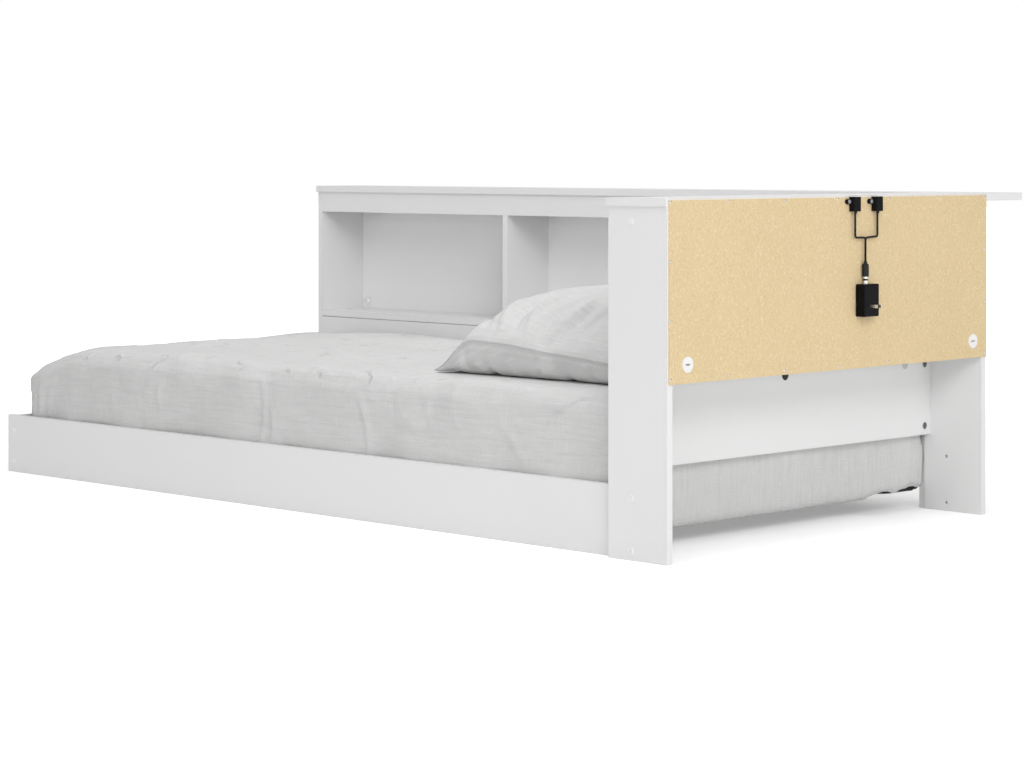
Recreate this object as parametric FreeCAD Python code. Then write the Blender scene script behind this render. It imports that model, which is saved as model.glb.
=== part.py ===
import FreeCAD, Part
import os

# A low single bed with one bookcase across its head and another along a long side.
# Bench frame: X runs across the bed from its open side, Y along it from the head, Z up.
# All sizes are in millimetres. At the end the pieces are moved together, so that the
# origin is the middle of the footprint, on the floor.

V = FreeCAD.Vector
X_AXIS = V(1, 0, 0)
Y_AXIS = V(0, 1, 0)
Z_AXIS = V(0, 0, 1)

# ---- driving dimensions: bedding ----
MATTRESS_WIDTH = 962.0
MATTRESS_LENGTH = 1930.0
MATTRESS_THICKNESS = 272.0
MATTRESS_CORNER = 45.0          # radius of the upright corners, seen from above
MATTRESS_EDGE = 42.0            # radius of the rounded top edge
MATTRESS_CROWN = 8.0            # how far the middle stands above the edge
CROWN_SHARES = ((0.7, 2.6), (1.0, 4.6))  # share of the crown, inset in edge radii
MATTRESS_UNDERCUT = 10.0        # how far the lower edge draws in
MATTRESS_UNDERCUT_HEIGHT = 12.0
SIDE_GAP = 2.0                  # mattress to rail and to side bookcase
HEAD_GAP = 2.0
FOOT_GAP = 4.0
SHEET = 1.0                     # cloth of the fitted sheet, with its slack
SHEET_SLACK = 0.2               # air inside the sheet
SHEET_HEM = 70.0                # how far the elastic hem reaches under the mattress
SOFT_CLEARANCE = 0.3            # between a soft piece and what carries it
PILLOW_LENGTH = 734.0           # across the bed, corner to corner
PILLOW_WIDTH = 606.0            # along the bed, corner to corner
PILLOW_THICKNESS = 184.0
PILLOW_SEAM = 62.0              # height of the side seam above the mattress
PILLOW_WAIST = 26.0             # how far the sides draw in between the corners
PILLOW_LEVELS = ((0.35, 0.90, 0.2), (1.0, 1.0, 1.0))  # share of the seam height, of the
                                                      # size and of the waist
CROWN_LEVELS = ((0.30, 0.91, 0.2), (0.62, 0.76, -0.5), (0.86, 0.54, -0.9))
PILLOW_BASE_SHARE = 0.74        # size of the pillow where it lies on the mattress
PILLOW_BASE_WAIST = -0.5
PILLOW_CROWN_SHARE = 0.26       # size of the flat spot on its crown
PILLOW_CROWN_WAIST = -0.9
PILLOWCASE = 0.8
PILLOW_SLACK = 0.3              # air inside the pillowcase
PILLOW_FROM_HEAD = 14.0         # case to the front of the head bookcase
PILLOW_OFFSET = 10.0            # towards the side rail from the middle of the mattress

# ---- driving dimensions: boards ----
BOARD = 16.0
HARDBOARD = 3.0
CASE_DEPTH = 146.0
CASE_HEIGHT = 675.0
TOP_OVERHANG = 4.0
FASCIA_HEIGHT = 52.0
SHELF_TOP = 347.5               # height of the shelf's upper face
SHADOW_GAP = 1.5                # between the shelf and the lower panel
LOWER_PANEL_HEIGHT = 169.5
HEAD_LAP = 12.0                 # the head bookcase reaches this far behind the side one
END_CUBBY = 675.0               # clear width of the two outer cubbies of the side bookcase
BACK_TOP_INSET = 4.0            # back board below the top's upper face
BACK_NEAR_INSET = 4.0           # back board in from the first end panel's face
BACK_FAR_INSET = 1.0
RAIL_HEIGHT = 135.0
RAIL_HEAD_INSET = 20.0          # the side rail's end, in from the back of the head bookcase
FOOT_RAIL_LAP = 120.0           # the foot rail's reach under the side bookcase

# ---- driving dimensions: slat deck ----
SLAT_COUNT = 12
SLAT_WIDTH = 70.0
SLAT_THICKNESS = 12.0
SLAT_END_GAP = 1.0
DECK_SETBACK = 190.0            # first slat and strips, out of sight behind the mattress's end
SLAT_LAST_GAP = 8.0             # last slat to the foot rail
LEDGER_HEIGHT = 19.0
LEDGER_WIDTH = 30.0
RUNNER_WIDTH = 40.0

# ---- driving dimensions: fixings ----
HOLE_CLEARANCE = 0.15           # round a fixing, on the radius and past its end
DOWEL_RADIUS = 4.0
DOWEL_IN_FACE = 10.0            # depth of a dowel in the face of a board
DOWEL_IN_EDGE = 20.0            # depth of a dowel in the edge of a board
SHORT_DOWEL_GAP = 1.0           # wood left where two dowels meet end to end in a board
DOWEL_INSET = 30.0              # dowel centre from the front and back edges
LEG_DOWEL_INSET = 50.0
FRONT_DOWEL_INSET = 13.0        # fascia dowels from its lower and upper edges
CAM_RADIUS = 7.5
CAM_DEPTH = 12.0
CAM_FROM_END = 20.0
CAM_FROM_EDGE = 19.0            # cam centre from the lower panel's long edges
CAM_SLOT = 1.4
CAM_SLOT_REACH = 0.7            # share of the disc's radius
STUD_RADIUS = 3.0
NAIL_HEAD_RADIUS = 2.2
NAIL_HEAD = 0.6
NAIL_RADIUS = 0.8
NAIL_LENGTH = 16.0
HEAD_NAIL_COUNT = 7             # nails along each long edge of the head's back board
SIDE_NAIL_COUNT = 13
UPRIGHT_NAIL_COUNT = 4
HANDING_HOLE_RADIUS = 3.5       # rail holes, drilled in every end panel
HANDING_HOLE_Y = 89.0           # from the back edge of the panel
RAIL_BOLT_HEIGHTS = (18.0, 116.0)
SPARE_HOLE_INSET = 28.0         # the third hole, below the panel's upper end
BOLT_RADIUS = 3.0
BOLT_HEAD_RADIUS = 6.5
BOLT_HEAD = 1.6
BOLT_KEY = 2.0                  # half width of the square key socket
BOLT_SHORT = 3.0                # the bolt's end stops short of the rail's far face
INSERT_INSET = 1.0              # insert below the rail's face, at both ends
INSERT_RADIUS = 5.0
INSERT_BORE = 3.05
CORNER_SCREW_HEIGHTS = (25.5, 99.0)
CORNER_SCREW_RADIUS = 3.5
CORNER_SCREW_HEAD_RADIUS = 5.5
CORNER_SCREW_HEAD = 3.0
CORNER_SCREW_LENGTH = 50.0
SCREW_RADIUS = 2.0
SCREW_HEAD_RADIUS = 4.0
SCREW_HEAD = 2.4
SCREW_LENGTH = 26.0
SCREW_KEY_SHARE = 0.6           # key socket, as a share of the shank's radius
LEDGER_SCREW_LENGTH = 40.0
LEDGER_SCREW_COUNT = 5
BRACKET_LEG = 30.0
BRACKET_WIDTH = 20.0
BRACKET_THICKNESS = 2.0
BRACKET_HEIGHTS = (60.0, 300.0, 560.0)
BRACKET_TOP_INSET = 60.0        # top bracket from the outer back edge of the side bookcase
BRACKET_SCREW_LENGTH = 13.0
BRACKET_SCREW_FROM_END = 9.0

# ---- driving dimensions: grommets and plugs ----
GROMMET_RADIUS = 15.0
GROMMET_RIM = 1.8
GROMMET_SLEEVE_RADIUS = 11.0
GROMMET_RISE = 35.0             # centre above the back board's lower edge
HEAD_GROMMET_INSET = 50.0       # centre in from the back board's upright edges
SIDE_GROMMET_INSET = 33.0
GROMMET_SLOT = 3.0
GROMMET_SLOT_LENGTH = 14.0
PLUG_RADIUS = 10.5
PLUG_DOME = 4.0
PLUG_STEM_RADIUS = 5.0
PLUG_STEM = 9.0
PLUG_FROM_TOP = 16.0
PLUG_FROM_END = 90.0

# ---- driving dimensions: charging set on the back of the head bookcase ----
CHARGER_X = 587.0               # middle of the pair
CHARGER_SPACING = 72.0
CHARGER_WIDTH = 21.0
CHARGER_DEPTH = 14.0
CHARGER_HEIGHT = 29.0
CHARGER_TOP_INSET = 3.0         # below the top's upper face
CHARGER_EAR = 14.0
CHARGER_EAR_THICKNESS = 5.0
CHARGER_EAR_RADIUS = 5.0         # half its height, and its round end
CHARGER_EAR_DROP = 9.5           # its middle below the housing's top
CHARGER_SCREW_INSET = 6.0        # screw out from the housing's side
CHARGER_ROUND = 2.0
PORT_WIDTH = 13.0
PORT_DEPTH = 5.6
PORT_LENGTH = 11.0
PORT_WALL = 0.5
PORT_RECESS = 0.6
PORT_TONGUE_INSET = 1.0         # tongue below the mouth of its shell
LEAD_DIAMETER = 4.2
LEAD_DROP = 52.0                # charger to the cross run
LEAD_BEND = 7.0
LEAD_STEM = 47.0                # junction to the plug
JUNCTION_WIDTH = 7.0
JUNCTION_HEIGHT = 9.0
JUNCTION_RISE = 3.0             # its top above the cross run
JUNCTION_DEPTH = 6.0
PLUG_BARREL_RADIUS = 6.8
PLUG_BARREL_LENGTH = 31.0
PLUG_TAPER = 3.0
PLUG_NECK_RADIUS = 3.4
PLUG_NECK_LENGTH = 4.0
JACK_RADIUS = 4.6
JACK_LENGTH = 14.0
ADAPTER_X = 584.0
ADAPTER_WIDTH = 48.0
ADAPTER_HEIGHT = 65.0
ADAPTER_DEPTH = 23.5
ADAPTER_SPLIT = 13.0            # depth of the front half of the case
ADAPTER_WALL = 2.2
ADAPTER_ROUND = 3.0
BLADE_LENGTH = 17.5
BLADE_HEIGHT = 6.3
BLADE_THICKNESS = 1.5
BLADE_SPACING = 12.7
BLADE_RISE = 21.0               # blades above the adapter's lower face

# ---- places that follow from the sizes ----
RAIL_INNER_X = 2 * BOARD
BAY_WIDTH = MATTRESS_WIDTH + 2 * SIDE_GAP
SIDE_FRONT_X = RAIL_INNER_X + BAY_WIDTH
SIDE_BACK_X = SIDE_FRONT_X + CASE_DEPTH
HEAD_WIDTH = SIDE_FRONT_X + HEAD_LAP
FOOT_RAIL_Y = CASE_DEPTH + HEAD_GAP + MATTRESS_LENGTH + FOOT_GAP
FOOT_END_Y = FOOT_RAIL_Y + 2 * BOARD
SIDE_LENGTH = FOOT_END_Y - CASE_DEPTH
PANEL_HEIGHT = CASE_HEIGHT - BOARD
SPARE_HOLE_HEIGHT = PANEL_HEIGHT - SPARE_HOLE_INSET
HANDING_HOLE_HEIGHTS = RAIL_BOLT_HEIGHTS + (SPARE_HOLE_HEIGHT,)
SHELF_BOTTOM = SHELF_TOP - BOARD
LOWER_PANEL_TOP = SHELF_BOTTOM - SHADOW_GAP
LOWER_PANEL_BOTTOM = LOWER_PANEL_TOP - LOWER_PANEL_HEIGHT
FASCIA_BOTTOM = PANEL_HEIGHT - FASCIA_HEIGHT
FRONT_BOARD_Y = CASE_DEPTH - BOARD
DECK_TOP = LEDGER_HEIGHT + SLAT_THICKNESS
DECK_FIRST_Y = CASE_DEPTH + DECK_SETBACK
SLAT_PITCH = (FOOT_RAIL_Y - SLAT_LAST_GAP - SLAT_WIDTH - DECK_FIRST_Y) / (SLAT_COUNT - 1)
MATTRESS_BASE = DECK_TOP + SOFT_CLEARANCE + SHEET
MATTRESS_TOP = MATTRESS_BASE + MATTRESS_THICKNESS
BACK_FACE_Y = -HARDBOARD
LEAD_Y = BACK_FACE_Y - CHARGER_DEPTH / 2


# ---- plain shapes ----
def block(x0, y0, z0, x1, y1, z1):
    """A box between two opposite corners."""
    return Part.makeBox(x1 - x0, y1 - y0, z1 - z0, V(x0, y0, z0))


def rod(start, axis, length, radius):
    """A cylinder that starts at a point and runs along an axis."""
    return Part.makeCylinder(radius, length, start, axis)


def drill(boards, names, start, axis, length, radius):
    """Bore one hole through the named boards, with clearance round it and at both ends."""
    hole_start = start - axis * HOLE_CLEARANCE
    hole = rod(hole_start, axis, length + 2 * HOLE_CLEARANCE, radius + HOLE_CLEARANCE)
    for name in names:
        boards[name] = boards[name].cut(hole)


def countersunk_screw(head_face, axis, length, radius, head_radius, head_height):
    """A screw with its flat head flush on a face, running along the axis into the wood."""
    head = Part.makeCone(head_radius, radius, head_height, head_face, axis)
    key = rod(head_face, axis, head_height / 2, radius * SCREW_KEY_SHARE)
    shank = rod(head_face, axis, length, radius)
    return head.fuse(shank).cut(key).removeSplitter()


def sink_screw(boards, names, head_face, axis, length, radius=SCREW_RADIUS,
               head_radius=SCREW_HEAD_RADIUS, head_height=SCREW_HEAD):
    """Seat a countersunk screw in the named boards and return it."""
    drill(boards, names, head_face, axis, length, radius)
    seat = Part.makeCone(head_radius + HOLE_CLEARANCE, radius + HOLE_CLEARANCE,
                         head_height + HOLE_CLEARANCE, head_face, axis)
    boards[names[0]] = boards[names[0]].cut(seat)
    return countersunk_screw(head_face, axis, length, radius, head_radius, head_height)


def set_dowel(boards, face_board, edge_board, joint, into_edge):
    """Set a dowel across the joint between a board's face and another's edge."""
    start = joint - into_edge * DOWEL_IN_FACE
    length = DOWEL_IN_FACE + DOWEL_IN_EDGE
    drill(boards, (face_board, edge_board), start, into_edge, length, DOWEL_RADIUS)
    return rod(start, into_edge, length, DOWEL_RADIUS)


def set_short_dowel(boards, names, joint, axis):
    """Set a dowel that reaches half a board's thickness less its end gap on one side."""
    in_face = BOARD / 2 - SHORT_DOWEL_GAP
    start = joint - axis * in_face
    drill(boards, names, start, axis, in_face + DOWEL_IN_EDGE, DOWEL_RADIUS)
    return rod(start, axis, in_face + DOWEL_IN_EDGE, DOWEL_RADIUS)


def evenly(first, last, count):
    """That many points from first to last with equal spaces."""
    return [first + (last - first) * index / (count - 1) for index in range(count)]


# ---- one bookcase, with its back edges on y = 0 and its first end at x = 0 ----
def case_boards(prefix, ends, length, dividers, legs, top_span):
    """The boards of a bookcase: ends, top, shelf, fascia, lower panel, dividers, legs."""
    low_end, high_end = (f"{prefix}_end_panel_{end}" for end in ends)
    boards = {
        low_end: block(0, 0, 0, BOARD, CASE_DEPTH, PANEL_HEIGHT),
        high_end: block(length - BOARD, 0, 0, length, CASE_DEPTH, PANEL_HEIGHT),
        f"{prefix}_top_panel": block(top_span[0], 0, PANEL_HEIGHT,
                                     top_span[1], CASE_DEPTH + TOP_OVERHANG, CASE_HEIGHT),
        f"{prefix}_shelf": block(BOARD, 0, SHELF_BOTTOM, length - BOARD, CASE_DEPTH, SHELF_TOP),
        f"{prefix}_fascia": block(BOARD, FRONT_BOARD_Y, FASCIA_BOTTOM,
                                  length - BOARD, CASE_DEPTH, PANEL_HEIGHT),
        f"{prefix}_lower_panel": block(BOARD, FRONT_BOARD_Y, LOWER_PANEL_BOTTOM,
                                       length - BOARD, CASE_DEPTH, LOWER_PANEL_TOP),
    }
    for name, middle in dividers.items():
        left, right = middle - BOARD / 2, middle + BOARD / 2
        upright = block(left, 0, SHELF_TOP, right, CASE_DEPTH, PANEL_HEIGHT)
        notch = block(left, FRONT_BOARD_Y, FASCIA_BOTTOM, right, CASE_DEPTH, PANEL_HEIGHT)
        boards[name] = upright.cut(notch)
    for name, middle in legs.items():
        left, right = middle - BOARD / 2, middle + BOARD / 2
        upright = block(left, 0, 0, right, CASE_DEPTH, SHELF_BOTTOM)
        notch = block(left, FRONT_BOARD_Y, LOWER_PANEL_BOTTOM, right, CASE_DEPTH, SHELF_BOTTOM)
        boards[name] = upright.cut(notch)
    return boards, low_end, high_end


def case_dowels(boards, prefix, low_end, high_end, length, dividers, legs):
    """The dowels of a bookcase, each in its pair of holes."""
    shelf, top = f"{prefix}_shelf", f"{prefix}_top_panel"
    fascia, lower = f"{prefix}_fascia", f"{prefix}_lower_panel"
    front_y = CASE_DEPTH - BOARD / 2
    dowels = []
    for panel, x, inward in ((low_end, BOARD, X_AXIS), (high_end, length - BOARD, -X_AXIS)):
        panel_middle = x - inward.x * BOARD / 2
        for y in (DOWEL_INSET, CASE_DEPTH - DOWEL_INSET):
            shelf_joint = V(x, y, SHELF_BOTTOM + BOARD / 2)
            dowels.append(set_dowel(boards, panel, shelf, shelf_joint, inward))
            top_joint = V(panel_middle, y, PANEL_HEIGHT)
            dowels.append(set_dowel(boards, top, panel, top_joint, -Z_AXIS))
        for z in (FASCIA_BOTTOM + FRONT_DOWEL_INSET, PANEL_HEIGHT - FRONT_DOWEL_INSET):
            dowels.append(set_dowel(boards, panel, fascia, V(x, front_y, z), inward))
        lower_middle = (LOWER_PANEL_BOTTOM + LOWER_PANEL_TOP) / 2
        dowels.append(set_dowel(boards, panel, lower, V(x, front_y, lower_middle), inward))
    for name, middle in dividers.items():
        for y in (DOWEL_INSET, FRONT_BOARD_Y - DOWEL_INSET):
            foot = V(middle, y, SHELF_TOP)
            dowels.append(set_short_dowel(boards, (shelf, name), foot, Z_AXIS))
            head = V(middle, y, PANEL_HEIGHT)
            dowels.append(set_dowel(boards, top, name, head, -Z_AXIS))
    for name, middle in legs.items():
        for y in (LEG_DOWEL_INSET, FRONT_BOARD_Y - LEG_DOWEL_INSET):
            head = V(middle, y, SHELF_BOTTOM)
            dowels.append(set_short_dowel(boards, (shelf, name), head, -Z_AXIS))
    return dowels


def case_cams(boards, prefix, low_end, high_end, length):
    """Cam discs let into the back of the lower panel, and the studs that they draw up."""
    lower = f"{prefix}_lower_panel"
    discs, studs = [], []
    for panel, x, inward in ((low_end, BOARD, X_AXIS), (high_end, length - BOARD, -X_AXIS)):
        for z in (LOWER_PANEL_BOTTOM + CAM_FROM_EDGE, LOWER_PANEL_TOP - CAM_FROM_EDGE):
            centre = V(x + inward.x * CAM_FROM_END, FRONT_BOARD_Y, z)
            drill(boards, (lower,), centre, Y_AXIS, CAM_DEPTH, CAM_RADIUS)
            disc = rod(centre, Y_AXIS, CAM_DEPTH, CAM_RADIUS)
            reach = CAM_RADIUS * CAM_SLOT_REACH
            slots = (block(-reach, 0, -CAM_SLOT / 2, reach, CAM_SLOT, CAM_SLOT / 2),
                     block(-CAM_SLOT / 2, 0, -reach, CAM_SLOT / 2, CAM_SLOT, reach))
            for slot in slots:
                slot.translate(centre)
                disc = disc.cut(slot)
            discs.append(disc)
            start = V(x, FRONT_BOARD_Y + CAM_DEPTH / 2, z) - inward * DOWEL_IN_FACE
            stud_length = DOWEL_IN_FACE + CAM_FROM_END - CAM_RADIUS - HOLE_CLEARANCE
            drill(boards, (panel, lower), start, inward, stud_length, STUD_RADIUS)
            studs.append(rod(start, inward, stud_length, STUD_RADIUS))
    return discs, studs


def case_back(boards, prefix, low_end, high_end, length, long_count, grommet_inset):
    """The hardboard back, its nails and the two cable grommets in its lower corners."""
    back = f"{prefix}_back_board"
    left, right = BACK_NEAR_INSET, length - BACK_FAR_INSET
    boards[back] = block(left, BACK_FACE_Y, SHELF_BOTTOM, right, 0, CASE_HEIGHT - BACK_TOP_INSET)
    top_z, shelf_z = PANEL_HEIGHT + BOARD / 2, SHELF_BOTTOM + BOARD / 2
    first_x, last_x = BOARD / 2, length - BOARD / 2
    places = []
    for x in evenly(first_x, last_x, long_count):
        outer = x in (first_x, last_x)
        places.append((x, top_z, (f"{prefix}_top_panel",)))
        low_board = (low_end if x == first_x else high_end) if outer else f"{prefix}_shelf"
        places.append((x, shelf_z, (low_board,)))
    for z in evenly(shelf_z, top_z, UPRIGHT_NAIL_COUNT)[1:-1]:
        places.append((first_x, z, (low_end,)))
        places.append((last_x, z, (high_end,)))
    nails = []
    for x, z, behind in places:
        face = V(x, BACK_FACE_Y, z)
        drill(boards, (back,) + behind, face, Y_AXIS, NAIL_LENGTH, NAIL_RADIUS)
        head = rod(face - Y_AXIS * NAIL_HEAD, Y_AXIS, NAIL_HEAD, NAIL_HEAD_RADIUS)
        nails.append(head.fuse(rod(face, Y_AXIS, NAIL_LENGTH, NAIL_RADIUS)).removeSplitter())
    grommets = []
    for x in (left + grommet_inset, right - grommet_inset):
        centre = V(x, BACK_FACE_Y, SHELF_BOTTOM + GROMMET_RISE)
        drill(boards, (back,), centre, Y_AXIS, HARDBOARD, GROMMET_SLEEVE_RADIUS)
        rim = rod(centre - Y_AXIS * GROMMET_RIM, Y_AXIS, GROMMET_RIM, GROMMET_RADIUS)
        sleeve = rod(centre, Y_AXIS, HARDBOARD, GROMMET_SLEEVE_RADIUS)
        inner_rim = rod(centre + Y_AXIS * HARDBOARD, Y_AXIS, GROMMET_RIM, GROMMET_RADIUS)
        half = GROMMET_SLOT_LENGTH / 2
        slot = block(x - half, BACK_FACE_Y - GROMMET_RIM, centre.z - GROMMET_SLOT / 2,
                     x + half, GROMMET_RIM, centre.z + GROMMET_SLOT / 2)
        grommets.append(rim.fuse([sleeve, inner_rim]).removeSplitter().cut(slot))
    return nails, grommets


def bookcase(prefix, ends, length, dividers, legs, top_span, long_count, grommet_inset):
    """A whole bookcase: its boards by node name, and its fixings by the group they join."""
    boards, low_end, high_end = case_boards(prefix, ends, length, dividers, legs, top_span)
    dowels = case_dowels(boards, prefix, low_end, high_end, length, dividers, legs)
    discs, studs = case_cams(boards, prefix, low_end, high_end, length)
    nails, grommets = case_back(boards, prefix, low_end, high_end, length, long_count,
                                grommet_inset)
    for panel, x in ((low_end, 0), (high_end, length - BOARD)):
        for z in HANDING_HOLE_HEIGHTS:
            hole = rod(V(x, HANDING_HOLE_Y, z), X_AXIS, BOARD, HANDING_HOLE_RADIUS)
            boards[panel] = boards[panel].cut(hole)
    fixings = {"dowels": dowels, "cam_fittings": discs + studs, "back_nails": nails,
               "cable_grommets": grommets}
    return boards, fixings


def head_bookcase():
    """The bookcase across the head. Its top runs on over the corner of the two cases."""
    dividers = {"head_divider": HEAD_WIDTH / 2}
    top_span = (-TOP_OVERHANG, SIDE_BACK_X)
    return bookcase("head", ("near", "far"), HEAD_WIDTH, dividers, {}, top_span,
                    HEAD_NAIL_COUNT, HEAD_GROMMET_INSET)


def side_bookcase():
    """The bookcase along the far side, turned a quarter so that it faces the mattress."""
    first = BOARD + END_CUBBY + BOARD / 2
    second = SIDE_LENGTH - first
    dividers = {"side_divider_head": first, "side_divider_foot": second}
    legs = {"side_leg_head": first, "side_leg_foot": second}
    top_span = (TOP_OVERHANG, SIDE_LENGTH + TOP_OVERHANG)
    boards, fixings = bookcase("side", ("head", "foot"), SIDE_LENGTH, dividers, legs, top_span,
                               SIDE_NAIL_COUNT, SIDE_GROMMET_INSET)
    loose = [piece for group in fixings.values() for piece in group]
    for piece in list(boards.values()) + loose:
        piece.rotate(V(0, 0, 0), Z_AXIS, 90)
        piece.translate(V(SIDE_BACK_X, CASE_DEPTH, 0))
    return boards, fixings


def lower_panel_plugs(boards):
    """Three round plugs pressed into the back of the head's lower panel."""
    plugs = []
    z = LOWER_PANEL_TOP - PLUG_FROM_TOP
    for x in (BOARD + PLUG_FROM_END, HEAD_WIDTH / 2, HEAD_WIDTH - BOARD - PLUG_FROM_END):
        face = V(x, FRONT_BOARD_Y, z)
        drill(boards, ("head_lower_panel",), face, Y_AXIS, PLUG_STEM, PLUG_STEM_RADIUS)
        dome_radius = (PLUG_RADIUS ** 2 + PLUG_DOME ** 2) / (2 * PLUG_DOME)
        ball = Part.makeSphere(dome_radius, face + Y_AXIS * (dome_radius - PLUG_DOME))
        dome = ball.common(rod(face - Y_AXIS * PLUG_DOME, Y_AXIS, PLUG_DOME, PLUG_RADIUS))
        stem = rod(face, Y_AXIS, PLUG_STEM, PLUG_STEM_RADIUS)
        plugs.append(dome.fuse(stem).removeSplitter())
    return Part.makeCompound(plugs)


# ---- rails, ledgers and slats ----
def rail_bolt(head_face, axis):
    """A flat-headed bolt through an end panel into the rail behind it."""
    head = rod(head_face - axis * BOLT_HEAD, axis, BOLT_HEAD, BOLT_HEAD_RADIUS)
    socket = Part.makeBox(2 * BOLT_KEY, 2 * BOLT_KEY, 2 * BOLT_KEY)
    socket.translate(head_face - axis * BOLT_HEAD - V(BOLT_KEY, BOLT_KEY, BOLT_KEY))
    shank = rod(head_face, axis, 2 * BOARD - BOLT_SHORT, BOLT_RADIUS)
    return head.fuse(shank).removeSplitter().cut(socket)


def rail_insert(start, axis):
    """The threaded insert in a rail that takes a bolt."""
    length = BOARD - 2 * INSERT_INSET
    bore = rod(start, axis, length, INSERT_BORE)
    return rod(start, axis, length, INSERT_RADIUS).cut(bore)


def rails(boards):
    """The side rail, the foot rail, their bolts, inserts, corner screws and cover caps."""
    boards["side_rail"] = block(BOARD, RAIL_HEAD_INSET, 0, RAIL_INNER_X, FOOT_END_Y, RAIL_HEIGHT)
    boards["foot_rail"] = block(RAIL_INNER_X, FOOT_RAIL_Y, 0,
                                SIDE_FRONT_X + FOOT_RAIL_LAP, FOOT_RAIL_Y + BOARD, RAIL_HEIGHT)
    bolts, inserts = [], []
    hole_x = SIDE_BACK_X - HANDING_HOLE_Y
    for z in RAIL_BOLT_HEIGHTS:
        joints = (("side_rail", V(0, HANDING_HOLE_Y, z), X_AXIS),
                  ("foot_rail", V(hole_x, FOOT_END_Y, z), -Y_AXIS))
        for rail, head_face, axis in joints:
            rail_face = head_face + axis * BOARD
            drill(boards, (rail,), rail_face, axis, BOARD, INSERT_RADIUS)
            bolts.append(rail_bolt(head_face, axis))
            inserts.append(rail_insert(rail_face + axis * INSERT_INSET, axis))
    screws = []
    for z in CORNER_SCREW_HEIGHTS:
        head_face = V(BOARD, FOOT_RAIL_Y + BOARD / 2, z)
        screws.append(sink_screw(boards, ("side_rail", "foot_rail"), head_face, X_AXIS,
                                 CORNER_SCREW_LENGTH, CORNER_SCREW_RADIUS,
                                 CORNER_SCREW_HEAD_RADIUS, CORNER_SCREW_HEAD))
    caps = []
    spare_holes = ((V(0, HANDING_HOLE_Y, SPARE_HOLE_HEIGHT), X_AXIS),
                   (V(hole_x, FOOT_END_Y, SPARE_HOLE_HEIGHT), -Y_AXIS))
    for face, axis in spare_holes:
        head = rod(face - axis * BOLT_HEAD, axis, BOLT_HEAD, BOLT_HEAD_RADIUS)
        stem = rod(face, axis, BOARD / 2, HANDING_HOLE_RADIUS - HOLE_CLEARANCE)
        caps.append(head.fuse(stem).removeSplitter())
    boards["rail_bolts"] = Part.makeCompound(bolts)
    boards["rail_inserts"] = Part.makeCompound(inserts)
    boards["rail_corner_screws"] = Part.makeCompound(screws)
    boards["cover_caps"] = Part.makeCompound(caps)


def ledgers(boards):
    """The three strips that carry the slats, and the screws that hold them."""
    runner_x = (RAIL_INNER_X + SIDE_FRONT_X - RUNNER_WIDTH) / 2
    spans = {"near_ledger": (RAIL_INNER_X, RAIL_INNER_X + LEDGER_WIDTH),
             "far_ledger": (SIDE_FRONT_X - LEDGER_WIDTH, SIDE_FRONT_X),
             "centre_runner": (runner_x, runner_x + RUNNER_WIDTH)}
    for name, (left, right) in spans.items():
        boards[name] = block(left, DECK_FIRST_Y, 0, right, FOOT_RAIL_Y, LEDGER_HEIGHT)
    screws = []
    middle_z = LEDGER_HEIGHT / 2
    between_slats = (SLAT_PITCH + SLAT_WIDTH) / 2
    first_y = DECK_FIRST_Y + between_slats
    last_y = first_y + (SLAT_COUNT - 2) * SLAT_PITCH
    for y in evenly(first_y, last_y, LEDGER_SCREW_COUNT):
        head_face = V(RAIL_INNER_X + LEDGER_WIDTH, y, middle_z)
        screws.append(sink_screw(boards, ("near_ledger", "side_rail"), head_face, -X_AXIS,
                                 LEDGER_SCREW_LENGTH))
    first_leg = CASE_DEPTH + BOARD + END_CUBBY + BOARD / 2
    second_leg = CASE_DEPTH + SIDE_LENGTH - (first_leg - CASE_DEPTH)
    holds = (("side_leg_head", first_leg), ("side_leg_foot", second_leg))
    for upright, y in holds:
        head_face = V(SIDE_FRONT_X - LEDGER_WIDTH, y, middle_z)
        screws.append(sink_screw(boards, ("far_ledger", upright), head_face, X_AXIS,
                                 LEDGER_SCREW_LENGTH))
    for name, (left, right) in spans.items():
        head_face = V((left + right) / 2, FOOT_RAIL_Y + BOARD, middle_z)
        screws.append(sink_screw(boards, ("foot_rail", name), head_face, -Y_AXIS,
                                 LEDGER_SCREW_LENGTH))
    return screws


def slats(boards):
    """The slats, each screwed to both ledgers and to the runner under its middle."""
    left, right = RAIL_INNER_X + SLAT_END_GAP, SIDE_FRONT_X - SLAT_END_GAP
    holds = (("near_ledger", RAIL_INNER_X + LEDGER_WIDTH / 2),
             ("centre_runner", (RAIL_INNER_X + SIDE_FRONT_X) / 2),
             ("far_ledger", SIDE_FRONT_X - LEDGER_WIDTH / 2))
    screws = []
    for index in range(SLAT_COUNT):
        name = f"slat_{index + 1:02d}"
        y = DECK_FIRST_Y + index * SLAT_PITCH
        boards[name] = block(left, y, LEDGER_HEIGHT, right, y + SLAT_WIDTH, DECK_TOP)
        for carrier, x in holds:
            head_face = V(x, y + SLAT_WIDTH / 2, DECK_TOP)
            screws.append(sink_screw(boards, (name, carrier), head_face, -Z_AXIS, SCREW_LENGTH))
    return screws


# ---- brackets in the corner of the two bookcases ----
def bracket(corner, first_leg, second_leg, width_axis):
    """An angle bracket: two flat legs from a corner, with a screw hole in each."""
    half = width_axis * (BRACKET_WIDTH / 2)
    thin = BRACKET_THICKNESS
    legs = []
    for along, across in ((first_leg, second_leg), (second_leg, first_leg)):
        far = corner + along * BRACKET_LEG + across * thin + half
        near = corner - half
        low = V(min(near.x, far.x), min(near.y, far.y), min(near.z, far.z))
        high = V(max(near.x, far.x), max(near.y, far.y), max(near.z, far.z))
        legs.append(block(*low, *high))
    return legs[0].fuse(legs[1]).removeSplitter()


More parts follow.
